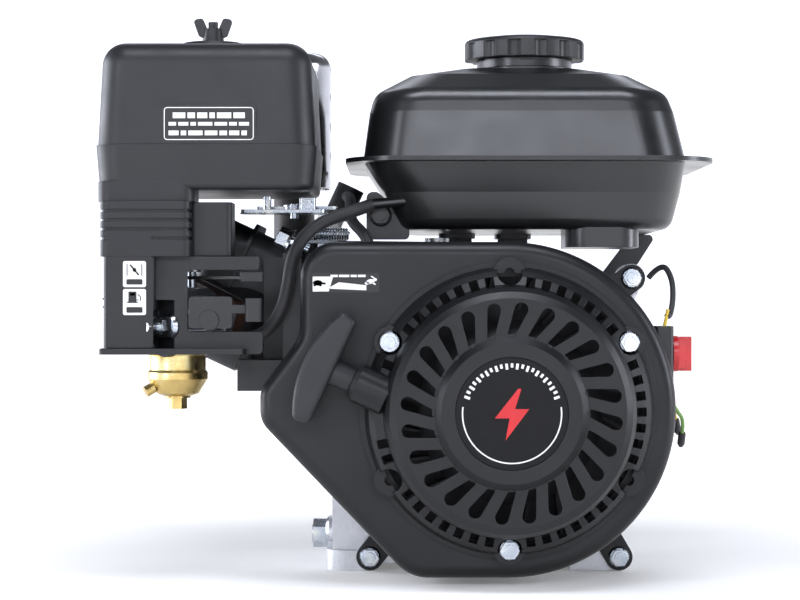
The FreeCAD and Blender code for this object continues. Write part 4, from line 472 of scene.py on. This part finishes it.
def front_label(name, node_name, x, z, width, height, radius, body, back, print_parts, lift=0.0):
    """A sticker on a face that looks to the front, with its print on top."""
    at = Vector((x, 0, z))
    at.y = front_surface(node_name, at, width / 2 - 1, height / 2 - 1) - lift
    plate = [rounded_rect(-width / 2, width / 2, -height / 2, height / 2, radius)]
    flat_piece(name, plate, at, RIGHT, UP, PLATE_HEIGHT, back, body, sink=PLATE_SINK)
    at = at - Vector((0, PLATE_HEIGHT, 0))
    for suffix, material, outlines in print_parts:
        flat_piece(name + "_" + suffix, outlines, at, RIGHT, UP, PRINT_HEIGHT, material, body, sink=PRINT_SINK)


# Rows of bars on the filter label: bottom, top and half length
BAR_ROWS = ((3.2, 6.6, 21.5), (-1.2, 0.9, 24.0), (-7.0, -4.2, 24.0))
BAR_WIDTHS = (7.5, 4.5, 6.0, 3.2, 8.5)
BAR_GAP = 1.3
BAR_SHORTEST = 1.2


def filter_print():
    """A thin frame and three rows of bars."""
    outlines = frame_band(-26.8, 26.8, -9.8, 9.8, 2.0, 0.5)
    for row, (low, high, length) in enumerate(BAR_ROWS):
        x = -length
        count = 0
        while x < length:
            end = min(length, x + BAR_WIDTHS[(count + row) % len(BAR_WIDTHS)])
            if end - x > BAR_SHORTEST:
                outlines.append(rectangle(x, end, low, high))
            x = end + BAR_GAP
            count += 1
    return outlines


front_label("filter_label", "air_filter_cover", -160.0, 277.3, 56.4, 22.2, 2.6, "filter_cover",
            "label_black", [("print", "label_white", filter_print())])

# The elbow's flat front face, one smooth moulded skin over the column
SKIN = 0.5
SKIN_SINK = 0.3
SKIN_INSET = 3.0
elbow_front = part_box("intake_elbow")[0].y / MM
flat_piece("elbow_face", [rounded_rect(-13.6, 14.6, -27.2, 27.2, 1.6)],
           Vector((-207.4, elbow_front + SKIN_INSET, 170.5)), RIGHT, UP, SKIN, "filter_plastic", "engine",
           sink=SKIN_SINK)

# The two lever stickers on that skin
STICKER_X = -203.9
STICKER_WIDTH, STICKER_HEIGHT, STICKER_RADIUS = 13.7, 15.5, 1.2
choke_marks = [stroke((-4.4, -1.0), (-4.4, 6.0), 0.6), stroke((4.4, -1.0), (4.4, 6.0), 0.6),
               stroke((-2.6, 5.6), (2.6, -0.6), 1.0), ellipse(0, 2.5, 1.2, 1.2),
               rounded_rect(-4.8, 4.8, -6.2, -3.0, 0.6)]
pump_marks = [rectangle(-3.6, 1.2, 0.2, 6.2), stroke((-4.4, -0.2), (2.0, -0.2), 0.8),
              stroke((2.0, 4.6), (3.6, 3.2), 0.6), stroke((3.6, 3.3), (3.6, 0.6), 0.6),
              stroke((1.2, 1.2), (2.5, 1.2), 0.5), rounded_rect(-4.8, 4.8, -6.4, -3.0, 0.6)]
pump_window = [rectangle(-2.7, 0.3, 3.8, 5.4)]
front_label("choke_label", "intake_elbow", STICKER_X, 187.4, STICKER_WIDTH, STICKER_HEIGHT, STICKER_RADIUS,
            "engine", "label_white", [("print", "label_black", choke_marks)], lift=SKIN)
front_label("fuel_label", "intake_elbow", STICKER_X, 170.8, STICKER_WIDTH, STICKER_HEIGHT, STICKER_RADIUS,
            "engine", "label_white", [("print", "label_black", pump_marks),
                                      ("window", "label_white", pump_window)], lift=SKIN)

# The speed label: a tortoise, a widening wedge and a hare
tortoise = [ellipse(-16.6, -0.2, 2.9, 1.7), ellipse(-12.9, -0.5, 1.1, 0.7),
            ellipse(-18.4, -1.7, 0.8, 0.6), ellipse(-14.9, -1.7, 0.8, 0.6)]
hare = [ellipse(14.9, 0.6, 2.5, 1.4, 10), ellipse(17.7, 1.8, 1.1, 0.9), ellipse(16.4, 3.2, 1.5, 0.4, 150),
        ellipse(12.9, -0.4, 1.4, 0.9), ellipse(17.0, -0.6, 1.2, 0.5, -30)]
wedge = [[(-11.0, -3.6), (12.5, -4.6), (12.5, -1.6), (-4.0, 0.2)],
         [(-19.6, -5.3), (-10.0, -5.3), (-7.4, 3.6), (-19.6, 3.6)]]
bars = [rectangle(x, x + wide, 3.3, 4.7) for x, wide in ((-9.0, 4.4), (-3.9, 6.2), (3.1, 3.6), (7.4, 4.6))]
front_label("speed_label", "fan_housing", -78.5, 182.4, 40.2, 11.6, 0.4, "engine", "label_black",
            [("print", "label_white", wedge + hare + bars), ("tortoise", "label_black", tortoise)])

# ---------- starter rope: three laid strands from the guide into the handle ----------

ROPE_START = CRANK + Vector((0, -150.0, 0)) + PULL_DIR * 92.2 - PULL_UP * 22.5
ROPE_BACK, ROPE_FORWARD = 22, 13.5
ROPE_RADIUS = 2.2
ROPE_LAY = 9.0
ROPE_STEPS = 160
STRANDS = 3
STRAND_SHARE = 0.52
STRAND_SIDES = 10


def laid_rope(name, start, end, radius, lay, steps):
    """Three strands twisted about the line from start to end."""
    along = (end - start).normalized()
    side = along.cross(AWAY).normalized()
    other = along.cross(side)
    length = (end - start).length
    strand_r = radius * STRAND_SHARE
    offset = radius - strand_r
    bm = bmesh.new()
    for strand in range(STRANDS):
        loops = []
        for i in range(steps + 1):
            t = length * i / steps
            a = 2 * math.pi * (strand / STRANDS + t / lay)
            out = side * math.cos(a) + other * math.sin(a)
            around = side * -math.sin(a) + other * math.cos(a)
            heading = (along + around * (2 * math.pi * offset / lay)).normalized()
            second = heading.cross(out).normalized()
            loops.append(ring_of(bm, start + along * t + out * offset, out, second, strand_r, STRAND_SIDES))
        tube_from(name, bm, loops)
    bmesh.ops.recalc_face_normals(bm, faces=bm.faces)
    return mesh_from(name, bm)


rope = shaded("starter_rope", laid_rope("starter_rope", ROPE_START - PULL_DIR * ROPE_BACK,
                                        ROPE_START + PULL_DIR * ROPE_FORWARD, ROPE_RADIUS, ROPE_LAY,
                                        ROPE_STEPS), "rope")
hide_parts("rope_lead")
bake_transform(rope)

# ---------- hose and wires ----------

HOSE_RADIUS = 4.0
SLEEVE_RADIUS = 1.8
LEAD_RADIUS = 1.1
WIRE_RADIUS = 1.2

FUEL_INLET = Vector((-148.0, -95.6, 148.0))
hose_route = [Vector(v) for v in ((-63.3, -74, 231.6), (-78, -77, 226), (-93, -84, 221), (-106, -93, 211),
                                  (-112.5, -98, 196), (-114.5, -101, 179), (-119, -101, 163))]
hose_route += [FUEL_INLET + Vector((16.8, -2.52, 0)), FUEL_INLET]
hose = tube("fuel_line", hose_route, HOSE_RADIUS, "rubber", "engine")
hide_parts("fuel_hose")

sleeve_route = [Vector(v) for v in ((111, -56, 186), (119, -60, 196), (124.5, -68, 186), (124, -78, 172),
                                    (120.5, -86, 160), (118.8, -88, 163))]
lead_in_route = [Vector(v) for v in ((119.4, -87.2, 166), (118.4, -88.8, 161), (117, -90, 156),
                                     (116.5, -90.5, 154))]
yellow_route = [Vector(v) for v in ((117, -84, 122), (119.5, -82, 113), (124, -78, 106), (126, -72, 98))]
green_route = [Vector(v) for v in ((117, -96, 122), (119, -98, 112), (124, -96, 104), (129, -90, 98),
                                   (129, -82, 90))]
sleeve = tube("stop_wire_sleeve", sleeve_route, SLEEVE_RADIUS, "rubber", "engine")
tube("stop_wire_lead_in", lead_in_route, LEAD_RADIUS, "wire_yellow", "engine")
yellow = tube("stop_wire_yellow", yellow_route, WIRE_RADIUS, "wire_yellow", "engine")
green = tube("stop_wire_green", green_route, WIRE_RADIUS, "wire_green", "engine")

# A bullet connector's profile: distance along its axis, and radius
BULLET = ((0.0, 1.3), (0.6, 2.1), (1.6, 2.4), (9.4, 2.4), (10.2, 2.1), (10.4, 1.5), (11.8, 1.4), (12.0, 0.9))
BULLET_SIDES = 20


def bullet(name, start, direction, body):
    """A rubber-sleeved bullet connector turned about its axis."""
    heading = direction.normalized()
    side = heading.orthogonal().normalized()
    other = heading.cross(side)
    bm = bmesh.new()
    tube_from(name, bm, [ring_of(bm, start + heading * t, side, other, r, BULLET_SIDES) for t, r in BULLET])
    bmesh.ops.recalc_face_normals(bm, faces=bm.faces)
    obj = shaded(name, mesh_from(name, bm), "rubber")
    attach(obj, body)
    return obj


bullet("wire_plug_a", yellow_route[-1], Vector((0.2, 0.5, -0.8)), "engine")
plug_b = bullet("wire_plug_b", green_route[-1], Vector((0, 0.6, -0.7)), "engine")
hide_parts("wiring")
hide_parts("wiring")
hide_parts("wiring")

# ---------- camera, light and floor, in metres ----------

LENS = 99.33
SENSOR = 36.0
CAMERA_AT = (-0.0459, -1.450, 0.172)
CLIP_START = 0.05

camera_data = bpy.data.cameras.new("camera")
camera_data.lens = LENS
camera_data.sensor_width = SENSOR
camera_data.clip_start = CLIP_START
camera = linked("camera", camera_data)
camera.location = CAMERA_AT
camera.rotation_euler = (math.radians(90), 0, 0)
bpy.context.scene.camera = camera

COOL = (0.86, 0.89, 1.0)
MIDDLE = (0.0, 0.0, 0.17)
# Each light: name, place, target, width, height and watts
LIGHTS = (("overhead", (0.0, -0.75, 1.7), MIDDLE, 1.2, 0.6, 20),
          ("left_box", (-1.55, 0.35, 0.45), (0, 0, 0.2), 1.3, 0.8, 24),
          ("left_front", (-1.25, -1.35, 0.55), (0, 0, 0.25), 0.3, 1.0, 9),
          ("right_box", (1.5, -0.35, 0.5), (0, 0, 0.2), 0.5, 0.8, 12),
          ("front_box", (-0.1, -2.5, 1.05), (0, 0, 0.2), 2.2, 0.35, 24),
          ("low_fill", (0.3, -2.2, 0.12), (0, 0, 0.1), 2.4, 0.2, 3.5),
          ("back_box", (0.0, 1.6, 1.5), MIDDLE, 1.4, 0.5, 5))


def area_light(name, at, target, width, height, watts):
    data = bpy.data.lights.new(name, "AREA")
    data.shape = "RECTANGLE"
    data.size = width
    data.size_y = height
    data.energy = watts
    data.color = COOL
    obj = linked(name, data)
    obj.location = at
    obj.rotation_euler = (Vector(target) - Vector(at)).to_track_quat("-Z", "Y").to_euler()


for light in LIGHTS:
    area_light(*light)

# The sky is brightest low down and behind the object; each ramp is low, high, start, end
BACK_RAMP = (0.50, 1.5, -0.3, 0.5)
HEIGHT_RAMP = (1.0, 0.14, 0.13, 0.24)

world = bpy.data.worlds.new("studio")
world.use_nodes = True
sky = world.node_tree.nodes
wires = world.node_tree.links
split = sky.new("ShaderNodeSeparateXYZ")
wires.new(sky.new("ShaderNodeTexCoord").outputs["Generated"], split.inputs["Vector"])
product = sky.new("ShaderNodeMath")
product.operation = "MULTIPLY"
wires.new(ranged(sky, wires, split.outputs["Y"], *BACK_RAMP), product.inputs[0])
wires.new(ranged(sky, wires, split.outputs["Z"], *HEIGHT_RAMP), product.inputs[1])
wires.new(product.outputs["Value"], sky["Background"].inputs["Strength"])
sky["Background"].inputs["Color"].default_value = (*COOL, 1)
bpy.context.scene.world = world
bpy.context.scene.view_settings.view_transform = "Standard"

FLOOR_RADIUS = 14
FLOOR_SIDES = 64
FLOOR_COLOUR = (0.96, 0.95, 0.92, 1)
FLOOR_ROUGHNESS = 0.95
FLOOR_SPECULAR = 0.1
# The floor's glow by distance from the middle: low, high, start, end
GLOW_RAMP = (0.12, 1.1, 0.25, 1.6)


def studio_floor():
    """A wide, plain, pale floor that glows into the white of the studio with distance."""
    bm = bmesh.new()
    angles = [2 * math.pi * i / FLOOR_SIDES for i in range(FLOOR_SIDES)]
    bm.faces.new([bm.verts.new((*polar(0, 0, FLOOR_RADIUS, a), 0)) for a in angles])
    obj = linked("floor", mesh_from("floor", bm))
    mat, nodes, links, shader = tree_of("floor_paint")
    shader.inputs["Base Color"].default_value = FLOOR_COLOUR
    shader.inputs["Roughness"].default_value = FLOOR_ROUGHNESS
    shader.inputs["Specular IOR Level"].default_value = FLOOR_SPECULAR
    spot = nodes.new("ShaderNodeVectorMath")
    spot.operation = "LENGTH"
    links.new(nodes.new("ShaderNodeTexCoord").outputs["Object"], spot.inputs[0])
    glow = ranged(nodes, links, spot.outputs["Value"], *GLOW_RAMP)
    links.new(glow, shader.inputs["Emission Strength"])
    shader.inputs["Emission Color"].default_value = (1, 1, 1, 1)
    obj.data.materials.append(mat)


studio_floor()
